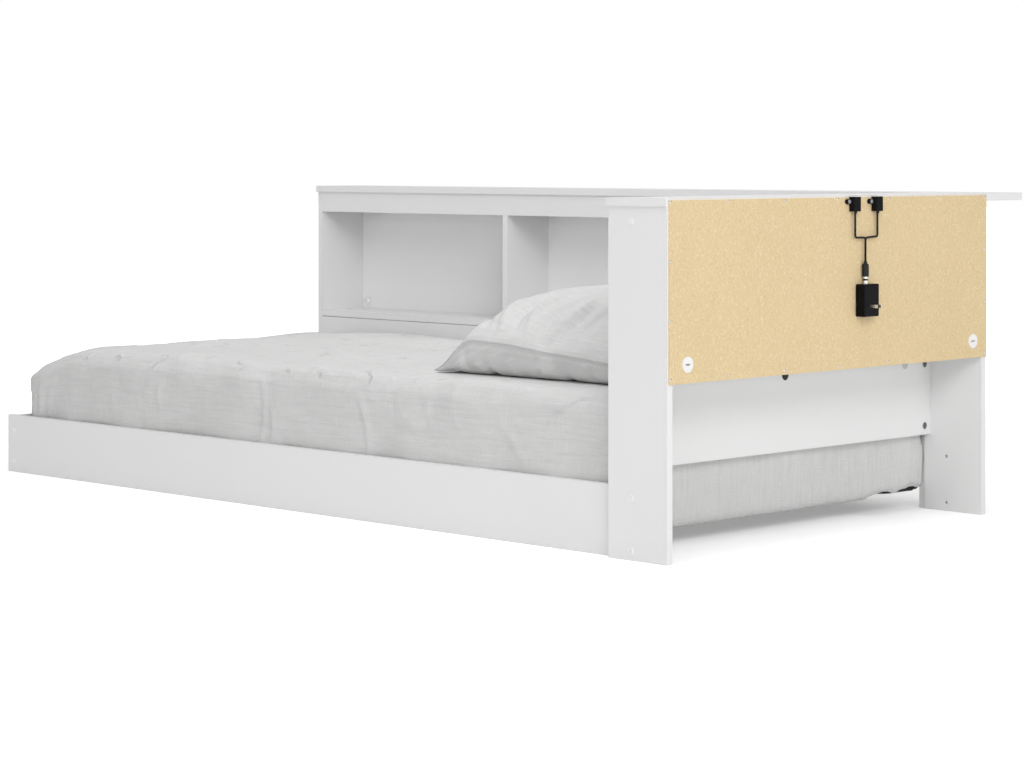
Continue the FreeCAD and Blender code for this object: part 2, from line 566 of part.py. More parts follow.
def corner_brackets(boards):
    """Brackets that tie the cases together in their corner, and the screws in them."""
    corners = [(V(HEAD_WIDTH, CASE_DEPTH, z), X_AXIS, -Y_AXIS, Z_AXIS,
                "side_end_panel_head", "head_end_panel_far") for z in BRACKET_HEIGHTS]
    corners.append((V(SIDE_BACK_X - BRACKET_TOP_INSET, CASE_DEPTH, PANEL_HEIGHT), -Z_AXIS,
                    -Y_AXIS, X_AXIS, "side_end_panel_head", "head_top_panel"))
    brackets, screws = [], []
    for corner, first, second, width_axis, first_board, second_board in corners:
        plate = {"plate": bracket(corner, first, second, width_axis)}
        reach = BRACKET_LEG - BRACKET_SCREW_FROM_END
        for along, into, board in ((first, -second, first_board), (second, -first, second_board)):
            head_face = corner + along * reach - into * BRACKET_THICKNESS
            drill(plate, ("plate",), head_face, into, BRACKET_THICKNESS, SCREW_RADIUS)
            drill(boards, (board,), head_face, into, BRACKET_SCREW_LENGTH, SCREW_RADIUS)
            head = rod(head_face - into * SCREW_HEAD / 2, into, SCREW_HEAD / 2, SCREW_HEAD_RADIUS)
            shank = rod(head_face, into, BRACKET_SCREW_LENGTH, SCREW_RADIUS)
            screws.append(head.fuse(shank).removeSplitter())
        brackets.append(plate["plate"])
    return Part.makeCompound(brackets), screws


# ---- charging set on the back of the head bookcase ----
def charger(middle_x, boards, screws, ports):
    """One housing on the back board, with its ear and screw and the port in its top."""
    top = CASE_HEIGHT - CHARGER_TOP_INSET
    bottom = top - CHARGER_HEIGHT
    left, right = middle_x - CHARGER_WIDTH / 2, middle_x + CHARGER_WIDTH / 2
    back = BACK_FACE_Y - CHARGER_DEPTH
    body = block(left, back, bottom, right, BACK_FACE_Y, top)
    rear_edges = [edge for edge in body.Edges if edge.CenterOfMass.y < back + CHARGER_ROUND]
    body = body.makeFillet(CHARGER_ROUND, rear_edges)
    ear_z = top - CHARGER_EAR_DROP
    ear_end = left - CHARGER_EAR + CHARGER_EAR_RADIUS
    ear = block(ear_end, BACK_FACE_Y - CHARGER_EAR_THICKNESS, ear_z - CHARGER_EAR_RADIUS,
                left + CHARGER_ROUND, BACK_FACE_Y, ear_z + CHARGER_EAR_RADIUS)
    round_end = rod(V(ear_end, BACK_FACE_Y - CHARGER_EAR_THICKNESS, ear_z), Y_AXIS,
                    CHARGER_EAR_THICKNESS, CHARGER_EAR_RADIUS)
    body = body.fuse([ear, round_end]).removeSplitter()
    port_y = BACK_FACE_Y - CHARGER_DEPTH / 2
    half_x, half_y = PORT_WIDTH / 2, PORT_DEPTH / 2
    pocket = block(middle_x - half_x, port_y - half_y, top - PORT_LENGTH,
                   middle_x + half_x, port_y + half_y, top)
    shell_low = top - PORT_LENGTH + HOLE_CLEARANCE
    shell_top = top - PORT_RECESS
    outer = block(middle_x - half_x + HOLE_CLEARANCE, port_y - half_y + HOLE_CLEARANCE, shell_low,
                  middle_x + half_x - HOLE_CLEARANCE, port_y + half_y - HOLE_CLEARANCE, shell_top)
    inner = block(middle_x - half_x + PORT_WALL, port_y - half_y + PORT_WALL,
                  shell_low + PORT_WALL,
                  middle_x + half_x - PORT_WALL, port_y + half_y - PORT_WALL, shell_top)
    tongue = block(middle_x - half_x + 2 * PORT_WALL, port_y, shell_low,
                   middle_x + half_x - 2 * PORT_WALL, port_y + 2 * PORT_WALL,
                   shell_top - PORT_TONGUE_INSET)
    ports.append(outer.cut(inner).fuse(tongue).removeSplitter())
    housing = {"housing": body.cut(pocket)}
    head_face = V(left - CHARGER_SCREW_INSET, BACK_FACE_Y - CHARGER_EAR_THICKNESS, ear_z)
    drill(housing, ("housing",), head_face, Y_AXIS, CHARGER_EAR_THICKNESS, SCREW_RADIUS)
    drill(boards, ("head_back_board",), head_face, Y_AXIS, NAIL_LENGTH, SCREW_RADIUS)
    head = rod(head_face - Y_AXIS * SCREW_HEAD / 2, Y_AXIS, SCREW_HEAD / 2, SCREW_HEAD_RADIUS)
    shank_length = CHARGER_EAR_THICKNESS + HARDBOARD
    shank = rod(head_face, Y_AXIS, shank_length, SCREW_RADIUS)
    screws.append(head.fuse(shank).removeSplitter())
    return housing["housing"]


def lead_branch(start_x, end_x, top_z, cross_z, bottom_z):
    """One branch of the lead: down, across to the junction, and down the stem."""
    side = 1 if end_x > start_x else -1
    bend = LEAD_BEND
    lean = bend * (1 - 0.5 ** 0.5)
    points = [V(start_x, LEAD_Y, top_z),
              V(start_x, LEAD_Y, cross_z + bend),
              V(start_x + side * lean, LEAD_Y, cross_z + lean),
              V(start_x + side * bend, LEAD_Y, cross_z),
              V(end_x - side * bend, LEAD_Y, cross_z),
              V(end_x - side * lean, LEAD_Y, cross_z - lean),
              V(end_x, LEAD_Y, cross_z - bend),
              V(end_x, LEAD_Y, bottom_z)]
    path = Part.Wire([Part.LineSegment(points[0], points[1]).toShape(),
                      Part.Arc(points[1], points[2], points[3]).toShape(),
                      Part.LineSegment(points[3], points[4]).toShape(),
                      Part.Arc(points[4], points[5], points[6]).toShape(),
                      Part.LineSegment(points[6], points[7]).toShape()])
    ring = Part.Wire([Part.makeCircle(LEAD_DIAMETER / 2, points[0], -Z_AXIS)])
    return path.makePipeShell([ring], True, False)


def charging_set(boards):
    """Two chargers, the forked lead, its plug and the adapter; returns the ears' screws."""
    screws, ports = [], []
    near_x = CHARGER_X - CHARGER_SPACING / 2
    far_x = CHARGER_X + CHARGER_SPACING / 2
    boards["usb_charger_near"] = charger(near_x, boards, screws, ports)
    boards["usb_charger_far"] = charger(far_x, boards, screws, ports)
    boards["usb_ports"] = Part.makeCompound(ports)
    lead_top = CASE_HEIGHT - CHARGER_TOP_INSET - CHARGER_HEIGHT
    cross_z = lead_top - LEAD_DROP
    stem_x = ADAPTER_X
    plug_top = cross_z - LEAD_STEM
    near_branch = lead_branch(near_x, stem_x, lead_top, cross_z, plug_top)
    far_branch = lead_branch(far_x, stem_x, lead_top, cross_z, plug_top)
    half_width, half_depth = JUNCTION_WIDTH / 2, JUNCTION_DEPTH / 2
    junction_top = cross_z + JUNCTION_RISE
    junction = block(stem_x - half_width, LEAD_Y - half_depth, junction_top - JUNCTION_HEIGHT,
                     stem_x + half_width, LEAD_Y + half_depth, junction_top)
    boards["charger_lead"] = near_branch.fuse([far_branch, junction]).removeSplitter()
    plug_bottom = plug_top - PLUG_BARREL_LENGTH
    shoulder = plug_top - PLUG_NECK_LENGTH - PLUG_TAPER
    neck = rod(V(stem_x, LEAD_Y, shoulder + PLUG_TAPER), Z_AXIS, PLUG_NECK_LENGTH,
               PLUG_NECK_RADIUS)
    taper = Part.makeCone(PLUG_BARREL_RADIUS, PLUG_NECK_RADIUS, PLUG_TAPER,
                          V(stem_x, LEAD_Y, shoulder), Z_AXIS)
    barrel = rod(V(stem_x, LEAD_Y, plug_bottom), Z_AXIS, shoulder - plug_bottom,
                 PLUG_BARREL_RADIUS)
    adapter_top = plug_bottom - JACK_LENGTH
    sleeve = rod(V(stem_x, LEAD_Y, adapter_top), Z_AXIS, JACK_LENGTH, JACK_RADIUS)
    boards["dc_plug"] = barrel.fuse([taper, neck, sleeve]).removeSplitter()
    adapter(boards, adapter_top)
    return screws


def adapter(boards, top):
    """The adapter's two shells, which lie against the back board, and its blades."""
    bottom = top - ADAPTER_HEIGHT
    left, right = ADAPTER_X - ADAPTER_WIDTH / 2, ADAPTER_X + ADAPTER_WIDTH / 2
    front = BACK_FACE_Y
    split = front - ADAPTER_SPLIT
    rear = front - ADAPTER_DEPTH
    whole = block(left, rear, bottom, right, front, top)
    whole = whole.makeFillet(ADAPTER_ROUND, whole.Edges)
    wall = ADAPTER_WALL
    hollow = block(left + wall, rear + wall, bottom + wall, right - wall, front - wall, top - wall)
    shell = whole.cut(hollow)
    front_side = block(left - wall, split, bottom - wall, right + wall, front + wall, top + wall)
    boards["adapter_base"] = shell.common(front_side)
    cover = {"cover": shell.cut(front_side)}
    blade_z = bottom + BLADE_RISE
    blades = []
    for side in (-1, 1):
        x = ADAPTER_X + side * BLADE_SPACING / 2
        outer = block(x - BLADE_THICKNESS / 2, rear - BLADE_LENGTH, blade_z - BLADE_HEIGHT / 2,
                      x + BLADE_THICKNESS / 2, rear + 2 * wall, blade_z + BLADE_HEIGHT / 2)
        cover["cover"] = cover["cover"].cut(outer)
        blades.append(outer)
    boards["adapter_cover"] = cover["cover"]
    boards["adapter_blades"] = Part.makeCompound(blades)


# ---- bedding ----
def rounded_outline(half_x, half_y, radius, z, centre):
    """A rectangle with round corners at a height, as one closed wire."""
    middle = radius * (1 - 0.5 ** 0.5)
    edges = []
    corners = ((1, -1), (1, 1), (-1, 1), (-1, -1))
    for index, (side_x, side_y) in enumerate(corners):
        along_y = V(side_x * half_x, side_y * (half_y - radius), z)
        along_x = V(side_x * (half_x - radius), side_y * half_y, z)
        bulge = V(side_x * (half_x - middle), side_y * (half_y - middle), z)
        first, last = (along_x, along_y) if index % 2 == 0 else (along_y, along_x)
        edges.append((first, bulge, last))
    segments = []
    for index, (first, bulge, last) in enumerate(edges):
        segments.append(Part.Arc(first, bulge, last).toShape())
        next_first = edges[(index + 1) % len(edges)][0]
        segments.append(Part.LineSegment(last, next_first).toShape())
    outline = Part.Wire(segments)
    outline.translate(V(centre[0], centre[1], 0))
    return outline


def mattress_form(grow, centre):
    """The mattress, or the outside of its sheet when grown: round edges and a low crown."""
    half_x, half_y = MATTRESS_WIDTH / 2 - SHEET + grow, MATTRESS_LENGTH / 2 - SHEET + grow
    base, top = MATTRESS_BASE - grow, MATTRESS_TOP - SHEET + grow
    edge = MATTRESS_EDGE
    shoulder = top - MATTRESS_CROWN
    levels = [(base, MATTRESS_UNDERCUT), (base + MATTRESS_UNDERCUT_HEIGHT, 0.0),
              (shoulder - edge, 0.0)]
    for turn in (0.25, 0.5, 0.75, 1.0):
        levels.append((shoulder - edge * (1 - turn) ** 2, edge * turn ** 2))
    for share, radii in CROWN_SHARES:
        levels.append((shoulder + MATTRESS_CROWN * share, edge * radii))
    outlines = [rounded_outline(half_x - inset, half_y - inset, MATTRESS_CORNER, z, centre)
                for z, inset in levels]
    return Part.makeLoft(outlines, True, True)


def bedding(boards):
    """The mattress in its fitted sheet, and the pillow in its case."""
    centre = (RAIL_INNER_X + BAY_WIDTH / 2, CASE_DEPTH + HEAD_GAP + MATTRESS_LENGTH / 2)
    boards["mattress"] = mattress_form(0.0, centre)
    cloth = mattress_form(SHEET, centre).cut(mattress_form(SHEET_SLACK, centre))
    half_x, half_y = MATTRESS_WIDTH / 2 - SHEET_HEM, MATTRESS_LENGTH / 2 - SHEET_HEM
    open_base = rounded_outline(half_x, half_y, MATTRESS_CORNER, MATTRESS_BASE - 2 * SHEET, centre)
    open_base = Part.Face(open_base).extrude(Z_AXIS * 3 * SHEET)
    boards["fitted_sheet"] = cloth.cut(open_base)
    pillow_centre = (RAIL_INNER_X + BAY_WIDTH / 2 - PILLOW_OFFSET,
                     CASE_DEPTH + PILLOW_FROM_HEAD + PILLOW_WIDTH / 2)
    boards["pillow"] = pillow_form(-PILLOWCASE - PILLOW_SLACK, pillow_centre)
    cover = pillow_form(0.0, pillow_centre)
    boards["pillowcase"] = cover.cut(pillow_form(-PILLOWCASE, pillow_centre))


def waisted_outline(half_x, half_y, waist, z, centre):
    """A rectangle whose sides draw in between its corners, at a height."""
    corners = [V(half_x, -half_y, z), V(half_x, half_y, z),
               V(-half_x, half_y, z), V(-half_x, -half_y, z)]
    sides = [V(half_x - waist, 0, z), V(0, half_y - waist, z),
             V(waist - half_x, 0, z), V(0, waist - half_y, z)]
    segments = [Part.Arc(corners[index], sides[index], corners[(index + 1) % 4]).toShape()
                for index in range(4)]
    outline = Part.Wire(segments)
    outline.translate(V(centre[0], centre[1], 0))
    return outline


def pillow_form(grow, centre):
    """A plump pillow with pinched corners, a low side seam and a high round crown."""
    base = MATTRESS_TOP + SOFT_CLEARANCE
    seam = base + PILLOW_SEAM
    top = base + PILLOW_THICKNESS
    half_x, half_y = PILLOW_LENGTH / 2 + grow, PILLOW_WIDTH / 2 + grow
    levels = [(base - grow, PILLOW_BASE_SHARE, PILLOW_BASE_WAIST)]
    levels += [(base + PILLOW_SEAM * rise, share, waist) for rise, share, waist in PILLOW_LEVELS]
    levels += [(seam + (top - seam) * rise, share, waist) for rise, share, waist in CROWN_LEVELS]
    levels.append((top + grow, PILLOW_CROWN_SHARE, PILLOW_CROWN_WAIST))
    outlines = [waisted_outline(half_x * share, half_y * share, PILLOW_WAIST * waist * share,
                                z, centre) for z, share, waist in levels]
    return Part.makeLoft(outlines, True, True)


# ---- the whole bed ----
def build_bed():
    """Every piece of the bed by node name, in the bench frame."""
    pieces, head_fixings = head_bookcase()
    side_boards, side_fixings = side_bookcase()
    pieces.update(side_boards)
    for group, head_group in head_fixings.items():
        pieces[group] = Part.makeCompound(head_group + side_fixings[group])
    pieces["lower_panel_plugs"] = lower_panel_plugs(pieces)
    rails(pieces)
    pieces["deck_screws"] = Part.makeCompound(ledgers(pieces) + slats(pieces))
    pieces["corner_brackets"], bracket_screws = corner_brackets(pieces)
    pieces["pan_head_screws"] = Part.makeCompound(bracket_screws + charging_set(pieces))
    bedding(pieces)
    return pieces


def main():
    """Build the bed, move it over the origin and write one STEP file for each piece."""
    pieces = build_bed()
    bounds = Part.makeCompound(list(pieces.values())).BoundBox
    to_origin = V(-bounds.Center.x, -bounds.Center.y, -bounds.ZMin)
    os.makedirs("parts", exist_ok=True)
    for name, piece in pieces.items():
        piece.translate(to_origin)
        piece.exportStep(os.path.join("parts", name + ".step"))
        print(f"{name}: {len(piece.Solids)} solids, {piece.Volume / 1000:.1f} cm3")
    print(f"size {bounds.XLength:.1f} x {bounds.YLength:.1f} x {bounds.ZLength:.1f} mm")
    print(f"bench origin lies at {to_origin.x:.2f}, {to_origin.y:.2f}, {to_origin.z:.2f} mm")


main()
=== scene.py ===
"""Looks of a low single bed with one bookcase across its head and another along its far side.

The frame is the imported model. X runs across the bed from its open side, Y from the head to
the foot and Z up, in metres. Boards, slats and fixings keep their CAD solids and get their
finishes here; the bedding, the lead and the nails are built anew over the solids they replace.
"""

import logging
import math
from collections.abc import Callable
from dataclasses import dataclass, field
from enum import Enum
from itertools import product

import bmesh
import bpy
import numpy as np
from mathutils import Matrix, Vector


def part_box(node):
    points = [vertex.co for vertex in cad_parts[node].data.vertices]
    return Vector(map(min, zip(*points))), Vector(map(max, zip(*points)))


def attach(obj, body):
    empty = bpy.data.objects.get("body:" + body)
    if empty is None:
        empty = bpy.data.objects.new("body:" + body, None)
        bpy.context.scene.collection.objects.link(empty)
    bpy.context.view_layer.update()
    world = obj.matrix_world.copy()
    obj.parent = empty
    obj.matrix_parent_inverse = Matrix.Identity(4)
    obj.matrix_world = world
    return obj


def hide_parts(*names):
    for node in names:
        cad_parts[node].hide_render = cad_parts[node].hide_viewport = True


log = logging.getLogger("bed")
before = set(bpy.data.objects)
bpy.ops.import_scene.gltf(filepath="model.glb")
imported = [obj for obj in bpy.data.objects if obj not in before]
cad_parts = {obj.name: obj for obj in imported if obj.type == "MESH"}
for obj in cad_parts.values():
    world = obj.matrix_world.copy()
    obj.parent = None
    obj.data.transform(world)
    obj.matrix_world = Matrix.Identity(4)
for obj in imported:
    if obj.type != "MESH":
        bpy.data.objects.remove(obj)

SAME_POINT = 0.00001
POINTS_PER_METRE = 2e5
CLOTH_MAP = "cloth"
WHITE, BLACK = (1.0, 1.0, 1.0), (0.0, 0.0, 0.0)


# ---------------------------------------------------------------- shader maths
def math_method(operation: str, swapped: bool = False) -> Callable[..., "Wire"]:
    """Write a method of Wire that adds one Math node.

    Args:
        operation: the node's operation.
        swapped: True for a reflected form, where the wire is the second value.
    Returns:
        The method.
    """
    def method(self: "Wire", *others: object) -> "Wire":
        """The wire and any other value through the node."""
        values = [*others, self] if swapped else [self, *others]
        return self.shader.node("ShaderNodeMath", {"operation": operation}, values)

    return method


class Wire:
    """An output socket of a material's node tree, with Python's operators on it."""

    def __init__(self, shader: "Shader", socket: bpy.types.NodeSocket) -> None:
        """Keep the socket and the shader that it belongs to."""
        self.shader, self.socket = shader, socket

    __add__ = __radd__ = math_method("ADD")
    __sub__, __rsub__ = math_method("SUBTRACT"), math_method("SUBTRACT", swapped=True)
    __mul__ = __rmul__ = math_method("MULTIPLY")
    __pow__ = math_method("POWER")
    __abs__ = math_method("ABSOLUTE")
    lesser = math_method("MINIMUM")
    greater = math_method("MAXIMUM")
    sine = math_method("SINE")

    def step(self, low: float, high: float) -> "Wire":
        """A smooth step from 0 at low to 1 at high."""
        return self.shader.node("ShaderNodeMapRange", {"interpolation_type": "SMOOTHSTEP"},
                                {"Value": self, "From Min": low, "From Max": high})


class Shader:
    """A material that is built around one Principled shader."""

    def __init__(self, name: str) -> None:
        """Make an empty material with a Principled shader and its output.

        Args:
            name: the material's name.
        """
        self.material = bpy.data.materials.new(name)
        self.material.use_nodes = True
        self.tree = self.material.node_tree
        self.tree.nodes.clear()
        output = self.tree.nodes.new("ShaderNodeOutputMaterial")
        self.surface = self.tree.nodes.new("ShaderNodeBsdfPrincipled")
        self.tree.links.new(self.surface.outputs[0], output.inputs["Surface"])

    def node(self, kind: str, settings: dict | None = None, inputs: object = None,
             output: object = 0) -> Wire:
        """Add a node.

        Args:
            kind: the node's type.
            settings: its properties, which are set first.
            inputs: values or wires, as a list in the order of its sockets, or by name or place.
            output: the name or place of the output to return.
        Returns:
            That output as a wire.
        """
        made = self.tree.nodes.new(kind)
        for key, value in (settings or {}).items():
            setattr(made, key, value)
        pairs = enumerate(inputs) if isinstance(inputs, list) else (inputs or {}).items()
        for key, value in pairs:
            self.feed(made.inputs[key], value)
        return Wire(self, made.outputs[output])

    def feed(self, socket: bpy.types.NodeSocket, value: object) -> None:
        """Link a wire to a socket, or set the socket to a plain value.

        Args:
            socket: the input socket.
            value: a wire, a number, a vector or a colour.
        """
        if isinstance(value, Wire):
            self.tree.links.new(value.socket, socket)
        elif isinstance(value, tuple) and len(value) == 3 and socket.type == "RGBA":
            socket.default_value = (*value, 1.0)
        else:
            socket.default_value = value

    def dress(self, **inputs: object) -> bpy.types.Material:
        """Feed the Principled shader's sockets.

        Args:
            inputs: values or wires by the sockets' names, with _ for a space.
        Returns:
            The finished material.
        """
        for name, value in inputs.items():
            self.feed(self.surface.inputs[name.replace("_", " ")], value)
        return self.material

    def place(self, spread: tuple = (1.0, 1.0, 1.0), uv: str = "") -> Wire:
        """Coordinates times a spread.

        Args:
            spread: one factor for each axis.
            uv: the UV map to read, or nothing for Object coordinates.
        Returns:
            The coordinates as a vector.
        """
        if uv:
            source = self.node("ShaderNodeUVMap", {"uv_map": uv})
        else:
            source = self.node("ShaderNodeTexCoord", output="Object")
        return self.node("ShaderNodeVectorMath", {"operation": "MULTIPLY"}, [source, spread])

    def parts(self, vector: Wire) -> list[Wire]:
        """The three parts of a vector."""
        split = self.node("ShaderNodeSeparateXYZ", {}, [vector])
        return [Wire(self, output) for output in split.socket.node.outputs]

    def noise(self, place: Wire, scale: float, detail: float = 3.0, rough: float = 0.5) -> Wire:
        """A noise from 0 to 1."""
        return self.node("ShaderNodeTexNoise", {}, {"Vector": place, "Scale": scale,
                                                    "Detail": detail, "Roughness": rough})

    def mix(self, share: object, first: object, second: object) -> Wire:
        """Two colours mixed by a share, on a Mix node's factor and its two colour sockets."""
        return self.node("ShaderNodeMix", {"data_type": "RGBA"},
                         {0: share, 6: first, 7: second}, 2)

    def bump(self, height: Wire, distance: float, strength: float,
             under: Wire | None = None) -> Wire:
        """A normal that is bent by a height.

        Args:
            height: the height in units of the distance.
            distance: that unit, in metres.
            strength: the share of the effect.
            under: another normal, which this one is laid over.
        Returns:
            The bent normal.
        """
        inputs = {"Height": height, "Distance": distance, "Strength": strength}
        if under is not None:
            inputs["Normal"] = under
        return self.node("ShaderNodeBump", {}, inputs)


# ---------------------------------------------------------------- finishes
# Scales of noise are in cells for each metre, and reliefs are the depths of bumps in metres.
def toned(colour: tuple, share: float, lift: float = 0.0) -> tuple:
    """A colour times a share, plus a lift."""
    return tuple(part * share + lift for part in colour)


@dataclass(frozen=True)
class LaminateBoard:
    """White laminate on particle board, with its edge banding and a trace of use."""

    low: tuple
    high: tuple
    colour: tuple = (0.775, 0.775, 0.775)
    core: tuple = (0.52, 0.44, 0.34)
    band_colour: tuple = (0.55, 0.55, 0.54)
    scuff_colour: tuple = (0.60, 0.59, 0.57)
    band_from_edge: float = 0.0009
    band_line: float = 0.00035
    scuff_height: float = 0.07
    chip_width: float = 0.0011
    relief: float = 0.00022

    def material(self, name: str) -> bpy.types.Material:
        """Make the material for a board between its two corners.

        Args:
            name: the material's name.
        Returns:
            The material.
        """
        s = Shader(name)
        place = s.place()
        parts = s.parts(place)
        margins = [(part - low).lesser(high - part)
                   for part, low, high in zip(parts, self.low, self.high)]
        smallest = margins[0].lesser(margins[1]).lesser(margins[2])
        largest = margins[0].greater(margins[1]).greater(margins[2])
        middle = margins[0] + margins[1] + margins[2] - smallest - largest
        band = abs(middle - self.band_from_edge).step(self.band_line, 0.0)
        cloud = s.noise(place, 2.6, 4.0)
        pores = s.noise(place, 1400.0, 2.0)
        peel = s.noise(place, 240.0)
        scuff = s.noise(s.place((9.0, 9.0, 30.0)), 5.0, 5.0, 0.7)
        low_down = parts[2].step(self.scuff_height, 0.0)
        chip = s.noise(place, 260.0, 2.0).step(0.70, 0.76) * middle.step(self.chip_width, 0.0)
        tone = s.mix(cloud.step(0.35, 0.7) * 0.25, self.colour, toned(self.colour, 0.965))
        tone = s.mix(band * 0.30, tone, self.band_colour)
        tone = s.mix(scuff.step(0.58, 0.74) * low_down * 0.22, tone, self.scuff_colour)
        tone = s.mix(chip * 0.55, tone, self.core)
        normal = s.bump(pores * 0.3 + peel * 0.7 - band * 1.6 - chip, self.relief, 0.45)
        return s.dress(Base_Color=tone, Roughness=0.36 + cloud * 0.10 + scuff * 0.06,
                       Normal=normal, Specular_IOR_Level=0.42)


@dataclass(frozen=True)
class Hardboard:
    """Tan pressed fibre board, flecked outside with fibres and painted white inside, the white
    lifted as painted fill light.
    """

    inner_axis: int
    inner_face: float
    colour: tuple = (0.715, 0.558, 0.325)
    dark: tuple = (0.50, 0.36, 0.17)
    pale: tuple = (0.85, 0.72, 0.49)
    # white paint inside, set lighter than the laminate: its real colour plus painted fill light for
    # the shade in the cubbies
    white_paint_and_fill_light: tuple = (0.87, 0.87, 0.87)
    paint_depth: float = 0.0004
    relief: float = 0.0004

    def material(self, name: str) -> bpy.types.Material:
        """Make the material, with fibres that lie and others that stand.

        Args:
            name: the material's name.
        Returns:
            The material.
        """
        s = Shader(name)
        place = s.place()
        cloud = s.noise(place, 5.0, 4.0)
        mottle = s.noise(place, 60.0, 5.0, 0.65)
        lying = s.noise(s.place((1.0, 1.0, 3.0)), 170.0, 3.0, 0.6)
        standing = s.noise(s.place((2.6, 1.0, 1.0)), 190.0, 3.0, 0.6)
        dust = s.noise(place, 1500.0, 2.0)
        tone = s.mix(cloud.step(0.3, 0.75) * 0.35, self.colour, toned(self.colour, 0.93))
        tone = s.mix(mottle.step(0.55, 0.75) * 0.18, tone, self.dark)
        tone = s.mix(lying.step(0.55, 0.70) * 0.55, tone, self.dark)
        tone = s.mix(standing.step(0.52, 0.70) * 0.80, tone, self.pale)
        tone = s.mix(dust.step(0.4, 0.8) * 0.15, tone, self.dark)
        away = abs(s.parts(place)[self.inner_axis] - self.inner_face)
        painted = away.step(self.paint_depth, self.paint_depth / 2)
        # the inner face takes the white paint, which also carries painted fill light for the
        # cubbies
        tone = s.mix(painted, tone, self.white_paint_and_fill_light)
        normal = s.bump((lying * 0.5 + standing * 0.5 + dust * 0.4) * (1 - painted * 0.8),
                        self.relief, 0.5)
        return s.dress(Base_Color=tone, Roughness=0.62 + mottle * 0.2 - painted * 0.2,
                       Normal=normal, Specular_IOR_Level=0.3)


@dataclass(frozen=True)
class Softwood:
    """Planed timber with its grain along one axis."""

    along: int = 0
    pale: tuple = (0.74, 0.57, 0.36)
    dark: tuple = (0.52, 0.33, 0.16)
    squeeze_across: float = 9.0
    squeeze_along: float = 0.55
    relief: float = 0.0004

    def material(self, name: str) -> bpy.types.Material:
        """Make the material.

        Args:
            name: the material's name.
        Returns:
            The material.
        """
        s = Shader(name)
        squeeze = [self.squeeze_across] * 3
        squeeze[self.along] = self.squeeze_along
        place = s.place(tuple(squeeze))
        drift = s.noise(place, 0.8, 2.0)
        rings = s.noise(place, 3.5, 4.0, 0.6)
        years = (rings * 46.0 + drift * 12.0).sine() * 0.5 + 0.5
        fine = s.noise(s.place(toned(squeeze, 24.0)), 2.0)
        tone = s.mix(years.step(0.25, 0.95) * 0.5, self.pale, self.dark)
        tone = s.mix(fine * 0.22, tone, self.dark)
        return s.dress(Base_Color=tone, Roughness=0.55 + fine * 0.2,
                       Normal=s.bump(years * 0.5 + fine, self.relief, 0.4))


@dataclass(frozen=True)
class BareMetal:
    """Plated or cast metal, with fine scratches."""

    colour: tuple
    roughness: float
    relief: float = 0.00008

    def material(self, name: str) -> bpy.types.Material:
        """Make the material.

        Args:
            name: the material's name.
        Returns:
            The material.
        """
        s = Shader(name)
        scratch = s.noise(s.place((1.0, 1.0, 14.0)), 900.0)
        stain = s.noise(s.place(), 90.0)
        tone = s.mix(stain.step(0.45, 0.8) * 0.35, self.colour, toned(self.colour, 0.75))
        return s.dress(Base_Color=tone, Metallic=1.0,
                       Roughness=self.roughness + scratch * 0.12 + stain * 0.08,
                       Normal=s.bump(scratch, self.relief, 0.4))


@dataclass(frozen=True)
class Plastic:
    """Moulded plastic with a fine spark-eroded grain."""

    colour: tuple = (0.007, 0.007, 0.008)
    roughness: float = 0.42
    relief: float = 0.00006
    gloss: float = 0.06
    dust: float = 0.02

    def material(self, name: str) -> bpy.types.Material:
        """Make the material.

        Args:
            name: the material's name.
        Returns:
            The material.
        """
        s = Shader(name)
        place = s.place()
        grain = s.noise(place, 2600.0, 2.0)
        dust = s.noise(place, 160.0, 5.0, 0.7)
        tone = s.mix(dust.step(0.62, 0.85) * 0.22, self.colour,
                     toned(self.colour, 0.9, self.dust))
        return s.dress(Base_Color=tone, Roughness=self.roughness + dust * 0.12,
                       Normal=s.bump(grain, self.relief, 0.5), Specular_IOR_Level=self.gloss)


@dataclass(frozen=True)
class PanelPlug:
    """Moulded plugs in the lower panel: black ones, and a grey one at the far end."""

    change: float
    black: tuple = (0.010, 0.010, 0.011)
    grey: tuple = (0.50, 0.50, 0.50)
    blend: float = 0.01
    relief: float = 0.00006

    def material(self, name: str) -> bpy.types.Material:
        """Make the material, which changes at one place across the bed.

        Args:
            name: the material's name.
        Returns:
            The material.
        """
        s = Shader(name)
        place = s.place()
        far = s.parts(place)[0].step(self.change - self.blend, self.change + self.blend)
        grain = s.noise(place, 2200.0, 2.0)
        return s.dress(Base_Color=s.mix(far, self.black, self.grey),
                       Roughness=0.4 + grain * 0.1,
                       Normal=s.bump(grain, self.relief, 0.5), Specular_IOR_Level=0.3)


@dataclass(frozen=True)
class PlugAndJack:
    """The lead's plug: a black grip, and below it a bright collar with a black ring."""

    collar_top: float
    black: tuple = (0.008, 0.008, 0.009)
    metal: tuple = (0.86, 0.86, 0.87)
    ring_drop: float = 0.006
    relief: float = 0.00005

    def material(self, name: str) -> bpy.types.Material:
        """Make the material, which changes at the collar's upper edge and at its ring.

        Args:
            name: the material's name.
        Returns:
            The material.
        """
        s = Shader(name)
        place = s.place()
        height = s.parts(place)[2]
        collar = height.step(self.collar_top + 0.0003, self.collar_top - 0.0003)
        ring = abs(height - (self.collar_top - self.ring_drop)).step(0.0024, 0.0016)
        bright = collar * (1 - ring)
        grain = s.noise(place, 1500.0, 2.0)
        return s.dress(Base_Color=s.mix(bright, self.black, self.metal), Metallic=bright * 0.85,
                       Roughness=0.40 - bright * 0.12 + grain * 0.06,
                       Normal=s.bump(grain, self.relief, 0.4), Specular_IOR_Level=0.25)


